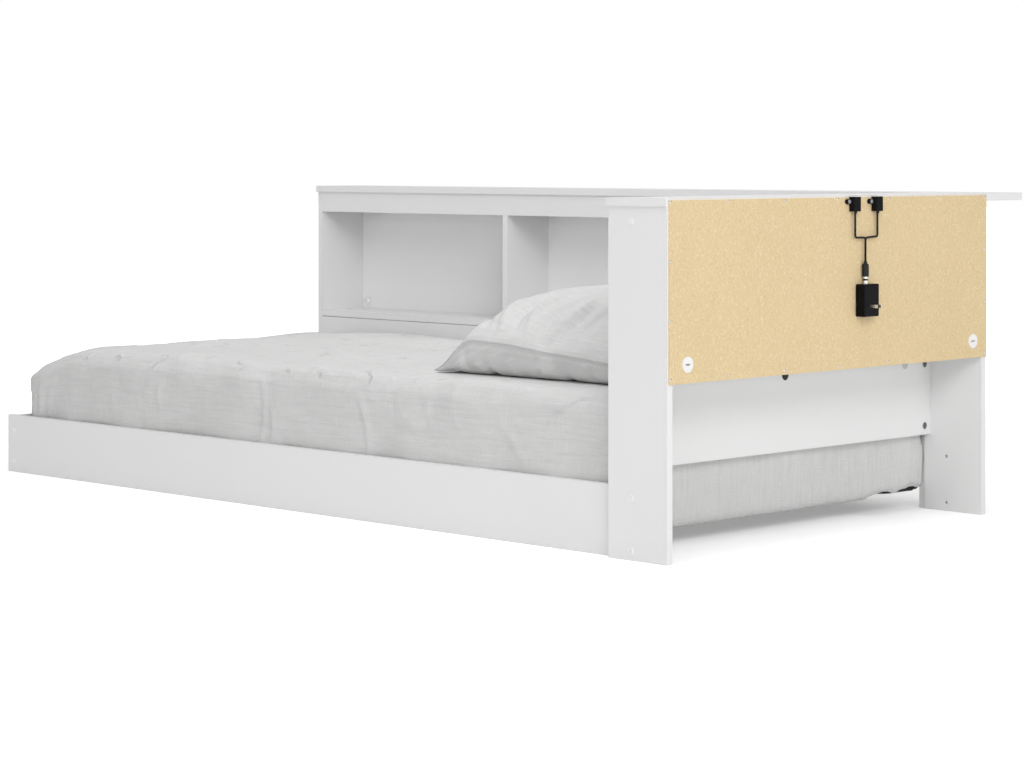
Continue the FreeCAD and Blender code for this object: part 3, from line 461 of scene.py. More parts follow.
@dataclass(frozen=True)
class LeadSheath:
    """Matt black sheath of the forked lead."""

    colour: tuple = (0.008, 0.008, 0.008)
    scuff_colour: tuple = (0.03, 0.03, 0.03)
    relief: float = 0.0001

    def material(self, name: str) -> bpy.types.Material:
        """Make the material.

        Args:
            name: the material's name.
        Returns:
            The material.
        """
        s = Shader(name)
        grain = s.noise(s.place(), 1800.0)
        scuff = s.noise(s.place(), 120.0)
        tone = s.mix(scuff.step(0.55, 0.8) * 0.2, self.colour, self.scuff_colour)
        return s.dress(Base_Color=tone, Roughness=0.52 + grain * 0.1,
                       Normal=s.bump(grain, self.relief, 0.5), Specular_IOR_Level=0.2)


@dataclass(frozen=True)
class Cloth:
    """Woven cloth whose threads follow a UV map in metres: a plain weave with thick slubs."""

    colour: tuple = (0.645, 0.645, 0.641)
    shade: tuple = (0.43, 0.43, 0.43)
    thread: float = 0.0011
    slub: float = 0.42
    light: tuple = (0.80, 0.80, 0.80)
    # share of painted shade on the sharp crease lines; 0 leaves the creases out
    creases: float = 0.0
    crease_floor: float = 0.0
    seam: str = ""
    underside: tuple | None = None
    underside_top: float = 0.0
    weave_relief: float = 0.00035
    fold_relief: float = 0.0016

    @staticmethod
    def on(s: Shader, across: float = 1.0, along: float = 1.0) -> Wire:
        """Places on the cloth, squeezed across and along."""
        return s.place((across, along, 1.0), CLOTH_MAP)

    def creased(self, s: Shader, tone: Wire, relief: Wire) -> tuple[Wire, Wire]:
        """Add thin wandering creases above the crease floor, with painted shade on their sharp
        lines.

        Args:
            s: the shader.
            tone: the cloth's colour so far.
            relief: its height so far.
        Returns:
            The new colour and height.
        """
        wander = s.noise(self.on(s, 1.0, 1.6), 7.0, 2.0)
        here = s.noise(self.on(s), 11.0, 2.0).step(0.56, 0.63)
        here = here * s.parts(s.place())[2].step(self.crease_floor - 0.02, self.crease_floor)
        line = abs(wander - 0.5)
        sharp = line.step(0.020, 0.002) * here
        flank = line.step(0.065, 0.0) * here
        # painted shade: the sharp crease lines are darkened towards the shade colour
        return (s.mix(sharp * self.creases, tone, self.shade),
                relief + flank * 3.0 - sharp * 2.0)

    def sewn(self, s: Shader, tone: Wire, relief: Wire) -> tuple[Wire, Wire]:
        """Add a seam with its sunk stitch line, darkened as painted shade, where the seam attribute
        is 1.

        Args:
            s: the shader.
            tone: the cloth's colour so far.
            relief: its height so far.
        Returns:
            The new colour and height.
        """
        seam = s.node("ShaderNodeAttribute", {"attribute_name": self.seam}, {}, "Fac")
        stitched = seam.step(0.70, 0.95)
        # painted shade: the sunk stitch line is darkened towards the shade colour
        return (s.mix(stitched * 0.45, tone, self.shade),
                relief + seam.step(0.35, 0.65) * 1.2 - stitched * 2.0)

    def material(self, name: str) -> bpy.types.Material:
        """Make the material, with a darker cloth below one height if that is given.

        Args:
            name: the material's name.
        Returns:
            The material.
        """
        s = Shader(name)
        turns = 2 * math.pi / self.thread
        across, along, _ = s.parts(self.on(s))
        weave = (across * turns).sine() * (along * turns).sine() * 0.5 + 0.5
        warp_slub, weft_slub = (s.noise(self.on(s, *squeeze), 1.0, 2.0).step(0.54, 0.70)
                                for squeeze in ((460.0, 24.0), (24.0, 460.0)))
        slubs = warp_slub.greater(weft_slub)
        broad = s.noise(self.on(s, 150.0, 9.0), 1.0)
        patchy = s.noise(self.on(s, 24.0, 34.0), 1.0, 4.0, 0.6)
        cloud = s.noise(self.on(s), 4.0, 4.0)
        tone = s.mix(slubs * self.slub, self.colour, self.light)
        tone = s.mix(broad.step(0.4, 0.75) * 0.20, tone, self.shade)
        tone = s.mix(patchy.step(0.42, 0.68) * 0.05, tone, self.shade)
        tone = s.mix(cloud.step(0.3, 0.8) * 0.12, tone, self.shade)
        relief = patchy * 0.25 + broad * 0.25
        if self.creases > 0:
            tone, relief = self.creased(s, tone, relief)
        if self.seam:
            tone, relief = self.sewn(s, tone, relief)
        if self.underside is not None:
            height = s.parts(s.place())[2]
            below = height.step(self.underside_top + 0.001, self.underside_top - 0.001)
            tone = s.mix(below, tone, self.underside)
        normal = s.bump(weave * 0.6 + slubs * 1.6, self.weave_relief, 0.65,
                        s.bump(relief, self.fold_relief, 0.6))
        return s.dress(Base_Color=tone, Roughness=0.86 + weave * 0.08, Normal=normal,
                       Sheen_Weight=0.12, Sheen_Roughness=0.5, Specular_IOR_Level=0.18)


@dataclass(frozen=True)
class Backdrop:
    """A pale floor that looks white to the camera where nothing shades it."""

    colour: tuple = (0.92, 0.92, 0.92)
    lift: tuple = (0.30, 0.30, 0.30)
    near: float = 1.7
    far: float = 3.6

    def material(self, name: str) -> bpy.types.Material:
        """Make the material, with a glow that only the camera and mirror-like surfaces see.

        Args:
            name: the material's name.
        Returns:
            The material.
        """
        s = Shader(name)
        seen = s.node("ShaderNodeLightPath", output="Is Camera Ray")
        for ray in ("Is Glossy Ray", "Is Transmission Ray"):
            seen = seen.greater(s.node("ShaderNodeLightPath", output=ray))
        grain = s.noise(s.place(), 30.0, 2.0)
        across, along, _ = s.parts(s.place())
        away = (across * across + along * along) ** 0.5
        glow = s.mix(away.step(self.near, self.far), self.lift, WHITE)
        return s.dress(Base_Color=self.colour, Roughness=0.9 + grain * 0.05,
                       Emission_Color=s.mix(seen, BLACK, glow), Emission_Strength=1.0,
                       Specular_IOR_Level=0.1)


# ---------------------------------------------------------------- mesh helpers
def new_piece(name: str, points: np.ndarray, faces: list, material: bpy.types.Material
              ) -> bpy.types.Object:
    """Make a smooth-shaded mesh object at the origin.

    Args:
        name: the piece's name.
        points: its points in metres.
        faces: its faces as lists of point numbers.
        material: its finish.
    Returns:
        The new object.
    """
    mesh = bpy.data.meshes.new(name)
    mesh.from_pydata([tuple(p) for p in points], [], [tuple(f) for f in faces])
    mesh.validate()
    mesh.polygons.foreach_set("use_smooth", [True] * len(mesh.polygons))
    piece = bpy.data.objects.new(name, mesh)
    bpy.context.scene.collection.objects.link(piece)
    mesh.materials.append(material)
    return piece


def set_uv(piece: bpy.types.Object, places: np.ndarray) -> None:
    """Give a piece the cloth's UV map in metres, from one pair for each face corner."""
    layer = piece.data.uv_layers.new(name=CLOTH_MAP)
    layer.data.foreach_set("uv", np.asarray(places, np.float32).ravel())


def outward(piece: bpy.types.Object) -> None:
    """Turn a closed piece's faces outwards.

    Args:
        piece: the piece.
    """
    shape = bmesh.new()
    shape.from_mesh(piece.data)
    bmesh.ops.recalc_face_normals(shape, faces=shape.faces)
    shape.to_mesh(piece.data)
    shape.free()


def weld(piece: bpy.types.Object) -> None:
    """Merge the triangles of a CAD solid by a modifier."""
    piece.modifiers.new("weld", "WELD").merge_threshold = SAME_POINT


def evaluated(piece: bpy.types.Object, name: str) -> bpy.types.Object:
    """Turn an object with modifiers into a plain mesh object, and drop the old one.

    Args:
        piece: the object with its modifiers.
        name: the new object's name.
    Returns:
        The new object.
    """
    graph = bpy.context.evaluated_depsgraph_get()
    mesh = bpy.data.meshes.new_from_object(piece.evaluated_get(graph))
    made = bpy.data.objects.new(name, mesh)
    bpy.context.scene.collection.objects.link(made)
    bpy.data.objects.remove(piece)
    mesh.name = name
    return made


def islands(node: str) -> list[np.ndarray]:
    """Sort a CAD node's points by loose solid.

    Args:
        node: the node's name.
    Returns:
        The merged points of each solid.
    """
    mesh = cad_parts[node].data
    points = np.array([v.co for v in mesh.vertices])
    cells = np.round(points * POINTS_PER_METRE).astype(np.int64)
    keys, inverse = np.unique(cells, axis=0, return_inverse=True)
    inverse = inverse.ravel()
    parent = list(range(len(keys)))

    def root(i: int) -> int:
        """The first member of a point's group."""
        while parent[i] != i:
            parent[i] = parent[parent[i]]
            i = parent[i]
        return i

    for face in mesh.polygons:
        first, *rest = (root(int(inverse[v])) for v in face.vertices)
        for other in rest:
            parent[root(other)] = root(first)
    groups: dict[int, list] = {}
    for i in range(len(keys)):
        groups.setdefault(root(i), []).append(i)
    return [keys[members] / POINTS_PER_METRE for _, members in sorted(groups.items())]


class Waves:
    """A smooth random field made of many plane waves, the same on each run."""

    SHARPNESS = 1.6

    def __init__(self, seed: int, shortest: float, longest: float, count: int = 28) -> None:
        """Choose the waves.

        Args:
            seed: the seed of the draw.
            shortest, longest: the limits of the wavelengths in metres.
            count: how many waves there are.
        """
        draw = np.random.default_rng(seed)
        aim = draw.normal(size=(count, 3))
        aim /= np.linalg.norm(aim, axis=1)[:, None]
        length = np.exp(draw.uniform(math.log(shortest), math.log(longest), count))
        self.waves = aim * (2 * math.pi / length)[:, None]
        self.phase = draw.uniform(0, 2 * math.pi, count)

    def at(self, points: np.ndarray) -> np.ndarray:
        """The field at some points, about -1 to 1."""
        angle = points @ self.waves.T + self.phase
        return np.sin(angle).sum(axis=1) / math.sqrt(len(self.phase))

    def ridges(self, points: np.ndarray) -> np.ndarray:
        """Sharp-crested folds from the same field, 0 to 1."""
        return np.clip(1 - np.abs(self.at(points)) * self.SHARPNESS, 0, 1) ** 2


@dataclass(frozen=True)
class Fold:
    """One fold of cloth between two places: a ridge, or a crease where its height is below 0.

    The places are given in the two axes of the side that it lies on: across and along the bed
    on an upper side, along and up on the near side. The fold bows to one side, fades towards
    its ends and dips slightly along each flank.
    """

    start: tuple
    end: tuple
    width: float
    height: float
    bow: float = 0.12
    bow_phase: float = 155.0
    flank_dip: float = 0.55
    fall_off: float = 0.8
    end_margin: float = 0.05
    end_fade: float = 0.7

    def at(self, places: np.ndarray) -> np.ndarray:
        """Work out what the fold adds.

        Args:
            places: places on its side, in two axes.
        Returns:
            The height at each place.
        """
        a, b = np.array(self.start), np.array(self.end)
        run = b - a
        share = np.clip((places - a) @ run / (run @ run), 0, 1)
        bow = self.bow * np.sin(np.pi * share) * np.sin(self.bow_phase * a.sum())
        line = a + share[:, None] * run + bow[:, None] * np.array((-run[1], run[0]))
        away = np.linalg.norm(places - line, axis=1) / self.width
        kept = self.end_margin + (1 - 2 * self.end_margin) * share
        fade = np.sin(np.pi * kept) ** self.end_fade
        return (self.height * fade * (1 - self.flank_dip * away ** 2)
                * np.exp(-(away ** 2) * self.fall_off))


def folded(rows: tuple, places: np.ndarray) -> np.ndarray:
    """The height of many folds; a row is a fold's start, end, width and height."""
    return sum(Fold(row[:2], row[2:4], *row[4:]).at(places) for row in rows)


def smooth_step(value: np.ndarray, low: float, high: float) -> np.ndarray:
    """0 below low, 1 above high, and smooth between."""
    t = np.clip((value - low) / (high - low), 0, 1)
    return t * t * (3 - 2 * t)


# ---------------------------------------------------------------- camera, light and ground
@dataclass(frozen=True)
class Lamp:
    """One rectangular soft lamp that faces a target."""

    name: str
    power: float
    place: tuple
    size: tuple
    target: tuple = (0.0, 0.0, 0.3)

    def hang(self) -> None:
        """Put the lamp in the scene."""
        lamp = bpy.data.lights.new(self.name, "AREA")
        lamp.shape, lamp.size, lamp.size_y = "RECTANGLE", *self.size
        lamp.energy = self.power
        holder = bpy.data.objects.new(self.name, lamp)
        holder.location = self.place
        aim = Vector(self.target) - Vector(self.place)
        holder.rotation_euler = aim.to_track_quat("-Z", "Y").to_euler()
        bpy.context.scene.collection.objects.link(holder)


@dataclass
class Studio:
    """The camera at the photograph's place, plain soft light and a pale ground.

    The key lamp stands by the camera, two low broad ones on the open sides, and one overhead.
    """

    eye: tuple = (-4.2855, -4.3212, 0.7494)
    turn: float = -45.222
    lens: float = 94.746
    sensor: float = 36.0
    shift: float = -0.2210
    sight: float = 200.0
    ground_half: float = 30.0
    fill: float = 0.31
    lamps: tuple[Lamp, ...] = (
        Lamp("key", 168.0, (-3.4, -5.6, 3.6), (3.2, 2.4), (0.0, -0.6, 0.3)),
        Lamp("side", 150.0, (-10.0, -3.5, 2.0), (8.0, 3.0)),
        Lamp("head", 165.0, (0.5, -10.5, 1.3), (8.0, 2.4)),
        Lamp("overhead", 97.0, (0.0, 0.0, 3.4), (4.0, 4.0), (0.0, 0.001, 0.0)))

    def camera(self) -> None:
        """Make the camera: level, and framed by its shift."""
        data = bpy.data.cameras.new("camera")
        data.lens, data.sensor_width, data.shift_y = self.lens, self.sensor, self.shift
        data.clip_end = self.sight
        view = bpy.data.objects.new("camera", data)
        view.location = self.eye
        view.rotation_euler = (math.pi / 2, 0.0, math.radians(self.turn))
        bpy.context.scene.collection.objects.link(view)
        bpy.context.scene.camera = view

    def world(self) -> None:
        """Fill from all round; rays of the camera and through clear things meet plain white."""
        world = bpy.data.worlds.new("studio")
        bpy.context.scene.world = world
        world.use_nodes = True
        nodes, links = world.node_tree.nodes, world.node_tree.links
        nodes.clear()
        path, either = nodes.new("ShaderNodeLightPath"), nodes.new("ShaderNodeMath")
        either.operation = "MAXIMUM"
        both, out = nodes.new("ShaderNodeMixShader"), nodes.new("ShaderNodeOutputWorld")
        for place, ray in enumerate(("Is Camera Ray", "Is Transmission Ray")):
            links.new(path.outputs[ray], either.inputs[place])
        links.new(either.outputs[0], both.inputs[0])
        for place, strength in ((1, self.fill), (2, 1.0)):
            glow = nodes.new("ShaderNodeBackground")
            glow.inputs["Color"].default_value = (*WHITE, 1.0)
            glow.inputs["Strength"].default_value = strength
            links.new(glow.outputs[0], both.inputs[place])
        links.new(both.outputs[0], out.inputs[0])

    def ground(self) -> None:
        """A wide pale floor."""
        h = self.ground_half
        points = np.array([(-h, -h, 0), (h, -h, 0), (h, h, 0), (-h, h, 0)], float)
        finish = Backdrop().material("studio_floor")
        floor = new_piece("studio_floor", points, [(0, 1, 2, 3)], finish)

    def build(self) -> None:
        """Make all of it."""
        bpy.context.scene.view_settings.view_transform = "Standard"
        self.camera()
        self.world()
        for lamp in self.lamps:
            lamp.hang()
        self.ground()


# ---------------------------------------------------------------- boards, slats and fixings
class Finishes(Enum):
    """Which plain finish a CAD node takes."""

    STEEL = "steel"
    CAM = "cam"
    ZINC = "zinc"
    WHITE_PLASTIC = "white_plastic"
    BLACK_PLASTIC = "black_plastic"
    BEECH = "beech"


@dataclass
class Carcass:
    """The boards of both bookcases and the rails, which keep their CAD solids."""

    bevel: float = 0.0006
    bevel_angle: float = 40.0
    grey_plug_from: float = 0.20
    plain: dict = field(default_factory=lambda: {
        "dowels": Finishes.BEECH, "cam_fittings": Finishes.CAM,
        "cable_grommets": Finishes.WHITE_PLASTIC, "cover_caps": Finishes.WHITE_PLASTIC,
        "rail_bolts": Finishes.WHITE_PLASTIC,
        "rail_inserts": Finishes.ZINC, "rail_corner_screws": Finishes.STEEL,
        "deck_screws": Finishes.STEEL, "corner_brackets": Finishes.ZINC,
        "usb_ports": Finishes.STEEL, "adapter_blades": Finishes.STEEL,
        "usb_charger_near": Finishes.BLACK_PLASTIC, "usb_charger_far": Finishes.BLACK_PLASTIC})

    def boards(self) -> list[str]:
        """The nodes that are laminated boards."""
        found = [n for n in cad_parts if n.startswith(("head_", "side_", "foot_rail"))]
        return sorted(n for n in found if not n.endswith("back_board"))

    def soften(self, node: str) -> None:
        """Round a board's long edges a little, by modifiers.

        Args:
            node: the board's CAD node.
        """
        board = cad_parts[node]
        weld(board)
        bevel = board.modifiers.new("round", "BEVEL")
        bevel.width, bevel.segments = self.bevel, 2
        bevel.limit_method, bevel.angle_limit = "ANGLE", math.radians(self.bevel_angle)
        bevel.harden_normals = False

    def build(self) -> None:
        """Dress every board and fixing."""
        made = {
            Finishes.STEEL: BareMetal((0.80, 0.80, 0.80), 0.22).material("bright_steel"),
            Finishes.ZINC: BareMetal((0.60, 0.60, 0.61), 0.35).material("cast_zinc"),
            Finishes.CAM: BareMetal((0.26, 0.26, 0.265), 0.32).material("dark_cam"),
            Finishes.WHITE_PLASTIC: Plastic((0.82, 0.82, 0.81), 0.38).material("white_plastic"),
            Finishes.BLACK_PLASTIC: Plastic().material("black_plastic"),
            Finishes.BEECH: Softwood(2, (0.70, 0.52, 0.33), (0.56, 0.38, 0.22)).material("beech"),
        }
        for node, kind in self.plain.items():
            self.put(node, made[kind])
        head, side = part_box("head_back_board"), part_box("side_back_board")
        self.put("head_back_board", Hardboard(1, head[1].y).material("head_hardboard"))
        self.put("side_back_board", Hardboard(0, side[0].x).material("side_hardboard"))
        self.put("lower_panel_plugs", PanelPlug(self.grey_plug_from).material("panel_plug"))
        for node in self.boards():
            low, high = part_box(node)
            self.put(node, LaminateBoard(tuple(low), tuple(high)).material(f"laminate_{node}"))
            self.soften(node)
        log.info("boards and fixings: %d nodes", len(self.plain) + len(self.boards()))

    @staticmethod
    def put(node: str, material: bpy.types.Material) -> None:
        """Give a CAD node one finish.

        Args:
            node: the node's name.
            material: the finish.
        """
        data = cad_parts[node].data
        data.materials.clear()
        data.materials.append(material)


@dataclass
class SlatDeck:
    """The pine ledgers, runner and slats."""

    lengthways: tuple = ("near_ledger", "far_ledger", "centre_runner")

    def build(self) -> None:
        """Dress the strips with their grain along them."""
        across = Softwood(0).material("pine_across")
        along = Softwood(1).material("pine_along")
        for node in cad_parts:
            if node.startswith("slat_"):
                Carcass.put(node, across)
            elif node in self.lengthways:
                Carcass.put(node, along)
        log.info("slat deck dressed")


# ---------------------------------------------------------------- small repeated pieces
class NodeField:
    """A Geometry Nodes tree in the making, with named inputs."""

    def __init__(self, name: str) -> None:
        """Start a tree that takes and gives geometry.

        Args:
            name: the tree's name.
        """
        self.tree = bpy.data.node_groups.new(name, "GeometryNodeTree")
        for way in ("INPUT", "OUTPUT"):
            self.tree.interface.new_socket("Geometry", in_out=way,
                                           socket_type="NodeSocketGeometry")
        self.source = self.tree.nodes.new("NodeGroupInput")
        self.sink = self.tree.nodes.new("NodeGroupOutput")

    def size(self, name: str, kind: str = "NodeSocketFloat") -> bpy.types.NodeSocket:
        """Add a named input and return its socket inside the tree."""
        self.tree.interface.new_socket(name, in_out="INPUT", socket_type=kind)
        return self.source.outputs[name]

    def link(self, value: object, socket: bpy.types.NodeSocket) -> None:
        """Feed a socket.

        Args:
            value: a node, for its first output, a socket, a plain value, or a list of nodes.
            socket: the input socket.
        """
        if isinstance(value, list):
            for one in value:
                self.link(one, socket)
        elif isinstance(value, bpy.types.Node):
            self.tree.links.new(value.outputs[0], socket)
        elif isinstance(value, bpy.types.NodeSocket):
            self.tree.links.new(value, socket)
        else:
            socket.default_value = value

    def add(self, kind: str, settings: dict | None = None, **inputs: object) -> bpy.types.Node:
        """Add a node.

        Args:
            kind: the node's type.
            settings: its properties, which are set first.
            inputs: what feeds its sockets, which are named with _ for a space.
        Returns:
            The node.
        """
        made = self.tree.nodes.new(kind)
        for key, value in (settings or {}).items():
            setattr(made, key, value)
        for name, value in inputs.items():
            self.link(value, made.inputs[name.replace("_", " ")])
        return made

    def math(self, operation: str, first: object, second: object) -> bpy.types.Node:
        """Add a Math node on two values.

        Args:
            operation: the node's operation.
            first, second: sockets or numbers.
        Returns:
            The node.
        """
        made = self.add("ShaderNodeMath", {"operation": operation})
        self.link(first, made.inputs[0])
        self.link(second, made.inputs[1])
        return made

    def run(self, carrier: bpy.types.Object, name: str, **sizes: object) -> bpy.types.Object:
        """Run the tree on a carrier and keep the result as a mesh.

        Args:
            carrier: the object that gives the geometry.
            name: the result's name.
            sizes: values for the tree's named inputs.
        Returns:
            The result.
        """
        modifier = carrier.modifiers.new("repeat", "NODES")
        modifier.node_group = self.tree
        for item in self.tree.interface.items_tree:
            if item.in_out == "INPUT" and item.name in sizes:
                modifier[item.identifier] = sizes[item.name]
        return evaluated(carrier, name)


@dataclass
class NailedBacks:
    """The domed nails around both back boards, driven where the CAD nails are."""

    head_radius: float = 0.0029
    head_rise: float = 0.0012
    shank_radius: float = 0.0010
    shank_length: float = 0.018
    sunk: float = 0.0006
    beyond_board: float = 0.02

    def tree(self) -> NodeField:
        """Lay out a nail: a domed head over a shank, set at each point and turned to its board.

        Returns:
            The tree.
        """
        nail = NodeField("nail_on_points")
        radius, rise = nail.size("Head radius"), nail.size("Head rise")
        shank_radius, shank_length = nail.size("Shank radius"), nail.size("Shank length")
        finish = nail.size("Finish", "NodeSocketMaterial")
        ball = nail.add("GeometryNodeMeshUVSphere", Segments=20, Rings=10, Radius=radius)
        flat = nail.add("ShaderNodeCombineXYZ", X=1.0, Y=1.0, Z=nail.math("DIVIDE", rise, radius))
        dome = nail.add("GeometryNodeTransform", Geometry=ball, Scale=flat)
        rod = nail.add("GeometryNodeMeshCylinder", Vertices=12, Radius=shank_radius,
                       Depth=shank_length)
        sunk = nail.add("ShaderNodeCombineXYZ", Z=nail.math("MULTIPLY", shank_length, -0.5))
        shank = nail.add("GeometryNodeTransform", Geometry=rod, Translation=sunk)
        whole = nail.add("GeometryNodeJoinGeometry", Geometry=[shank, dome])
        turn = nail.add("GeometryNodeInputNamedAttribute", {"data_type": "FLOAT_VECTOR"},
                        Name="turn")
        placed = nail.add("GeometryNodeInstanceOnPoints", Points=nail.source, Instance=whole,
                          Rotation=turn)
        real = nail.add("GeometryNodeRealizeInstances", Geometry=placed)
        smooth = nail.add("GeometryNodeSetShadeSmooth", Geometry=real)
        dressed = nail.add("GeometryNodeSetMaterial", Geometry=smooth, Material=finish)
        nail.link(dressed, nail.sink.inputs[0])
        return nail

    def build(self) -> None:
        """Set a nail at every CAD nail."""
        places, turns = [], []
        quarter = math.pi / 2
        head_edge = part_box("head_back_board")[1].y + self.beyond_board
        for island in islands("back_nails"):
            low, high = island.min(axis=0), island.max(axis=0)
            middle = (low + high) / 2
            if high[1] < head_edge:
                places.append((middle[0], low[1] + self.sunk, middle[2]))
                turns.append((quarter, 0.0, 0.0))
            else:
                places.append((high[0] - self.sunk, middle[1], middle[2]))
                turns.append((0.0, quarter, 0.0))
        steel = BareMetal((0.62, 0.60, 0.56), 0.20).material("nail_steel")
        carrier = new_piece("nail_places", np.array(places), [], steel)
        turn = carrier.data.attributes.new("turn", "FLOAT_VECTOR", "POINT")
        turn.data.foreach_set("vector", np.array(turns, np.float32).ravel())
        nails = self.tree().run(carrier, "domed_nails", **{
            "Head radius": self.head_radius, "Head rise": self.head_rise,
            "Shank radius": self.shank_radius, "Shank length": self.shank_length, "Finish": steel})
        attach(nails, "root")
        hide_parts("back_nails")
        log.info("nails: %d", len(places))


@dataclass
class ChargingSet:
    """The forked lead between the chargers and the plug, and the finish of the small parts."""

    diameter: float = 0.0042
    socket_from_end: float = 0.0105
    fork_drop: float = 0.052
    dip: float = 0.0012
    slack: float = 0.004
    collar_height: float = 0.014
    relief_radius: float = 0.0033
    relief_turns: int = 20
    relief_rings: tuple = ((0.0005, 1.0), (-0.0012, 1.0), (-0.0020, 0.82), (-0.0028, 0.95),
                           (-0.0040, 0.78))

    def branch(self, name: str, x: float, sheath: bpy.types.Material) -> None:
        """One branch of the lead from its charger to the plug, as a curve.

        Args:
            name: the piece's name.
            x: the charger's middle.
            sheath: the lead's finish.
        """
        low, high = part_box("charger_lead")
        middle = sum(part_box("dc_plug"), Vector()) / 2
        y, stem = middle.y, middle.x
        cross = high.z - self.fork_drop
        side = 1 if stem > x else -1
        bend = cross + (self.dip if side < 0 else 0.0)
        route = [(x, y, high.z), (x, y, high.z - 0.018), (x, y, bend + 0.009),
                 (x, y, bend + 0.003), (x + side * 0.003, y, bend), (x + side * 0.009, y, bend),
                 (stem - side * 0.010, y, cross), (stem - side * 0.003, y, cross - 0.0005),
                 (stem, y, cross - 0.004), (stem, y, cross - 0.012), (stem, y, cross - 0.030),
                 (stem, y, low.z)]
        data = bpy.data.curves.new(name, "CURVE")
        data.dimensions, data.bevel_depth, data.bevel_resolution = "3D", self.diameter / 2, 4
        data.resolution_u, data.use_fill_caps = 8, True
        line = data.splines.new("NURBS")
        line.points.add(len(route) - 1)
        for point, place in zip(line.points, route):
            point.co = (*place, 1.0)
        line.order_u, line.use_endpoint_u = 3, True
        data.materials.append(sheath)
        lead = bpy.data.objects.new(name, data)
        bpy.context.scene.collection.objects.link(lead)
        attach(lead, "root")
        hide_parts("charger_lead")
        steps = zip(route, route[1:])
        length = sum((Vector(a) - Vector(b)).length for a, b in steps) - self.slack

    def reliefs(self, places: list, sheath: bpy.types.Material) -> None:
        """Make small moulded stubs where the lead leaves each charger.

        Args:
            places: the middle of each charger's socket.
            sheath: the lead's finish.
        """
        turns, rings = self.relief_turns, self.relief_rings
        angles = [2 * math.pi * k / turns for k in range(turns)]
        points, faces = [], []
        for x, y, z in places:
            base = len(points)
            last = base + (len(rings) - 1) * turns
            for drop, share in rings:
                radius = self.relief_radius * share
                points += [(x + math.cos(angle) * radius, y + math.sin(angle) * radius, z + drop)
                           for angle in angles]
            for ring, k in product(range(base, last, turns), range(turns)):
                a, b = ring + k, ring + (k + 1) % turns
                faces.append((a, a + turns, b + turns, b))
            faces.append(range(base, base + turns))
            faces.append(range(last + turns - 1, last - 1, -1))
        stubs = new_piece("lead_strain_reliefs", np.array(points), faces, sheath)
        outward(stubs)
        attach(stubs, "root")

    def build(self) -> None:
        """Make the lead and dress the plug and the adapter."""
        sheath = LeadSheath().material("lead_sheath")
        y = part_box("charger_lead")[0].y + self.diameter / 2
        tops = []
        for name in ("near", "far"):
            low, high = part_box(f"usb_charger_{name}")
            x = high.x - self.socket_from_end
            self.branch(f"lead_{name}_branch", x, sheath)
            tops.append((x, y, low.z))
        self.reliefs(tops, sheath)
        collar_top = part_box("dc_plug")[0].z + self.collar_height
        Carcass.put("dc_plug", PlugAndJack(collar_top).material("plug_and_jack"))
        glossy = Plastic((0.004, 0.004, 0.005), 0.22, 0.00002, 0.07, 0.003).material("glossy_black")
        for node in ("adapter_base", "adapter_cover"):
            Carcass.put(node, glossy)
            weld(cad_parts[node])
        log.info("charging set made")


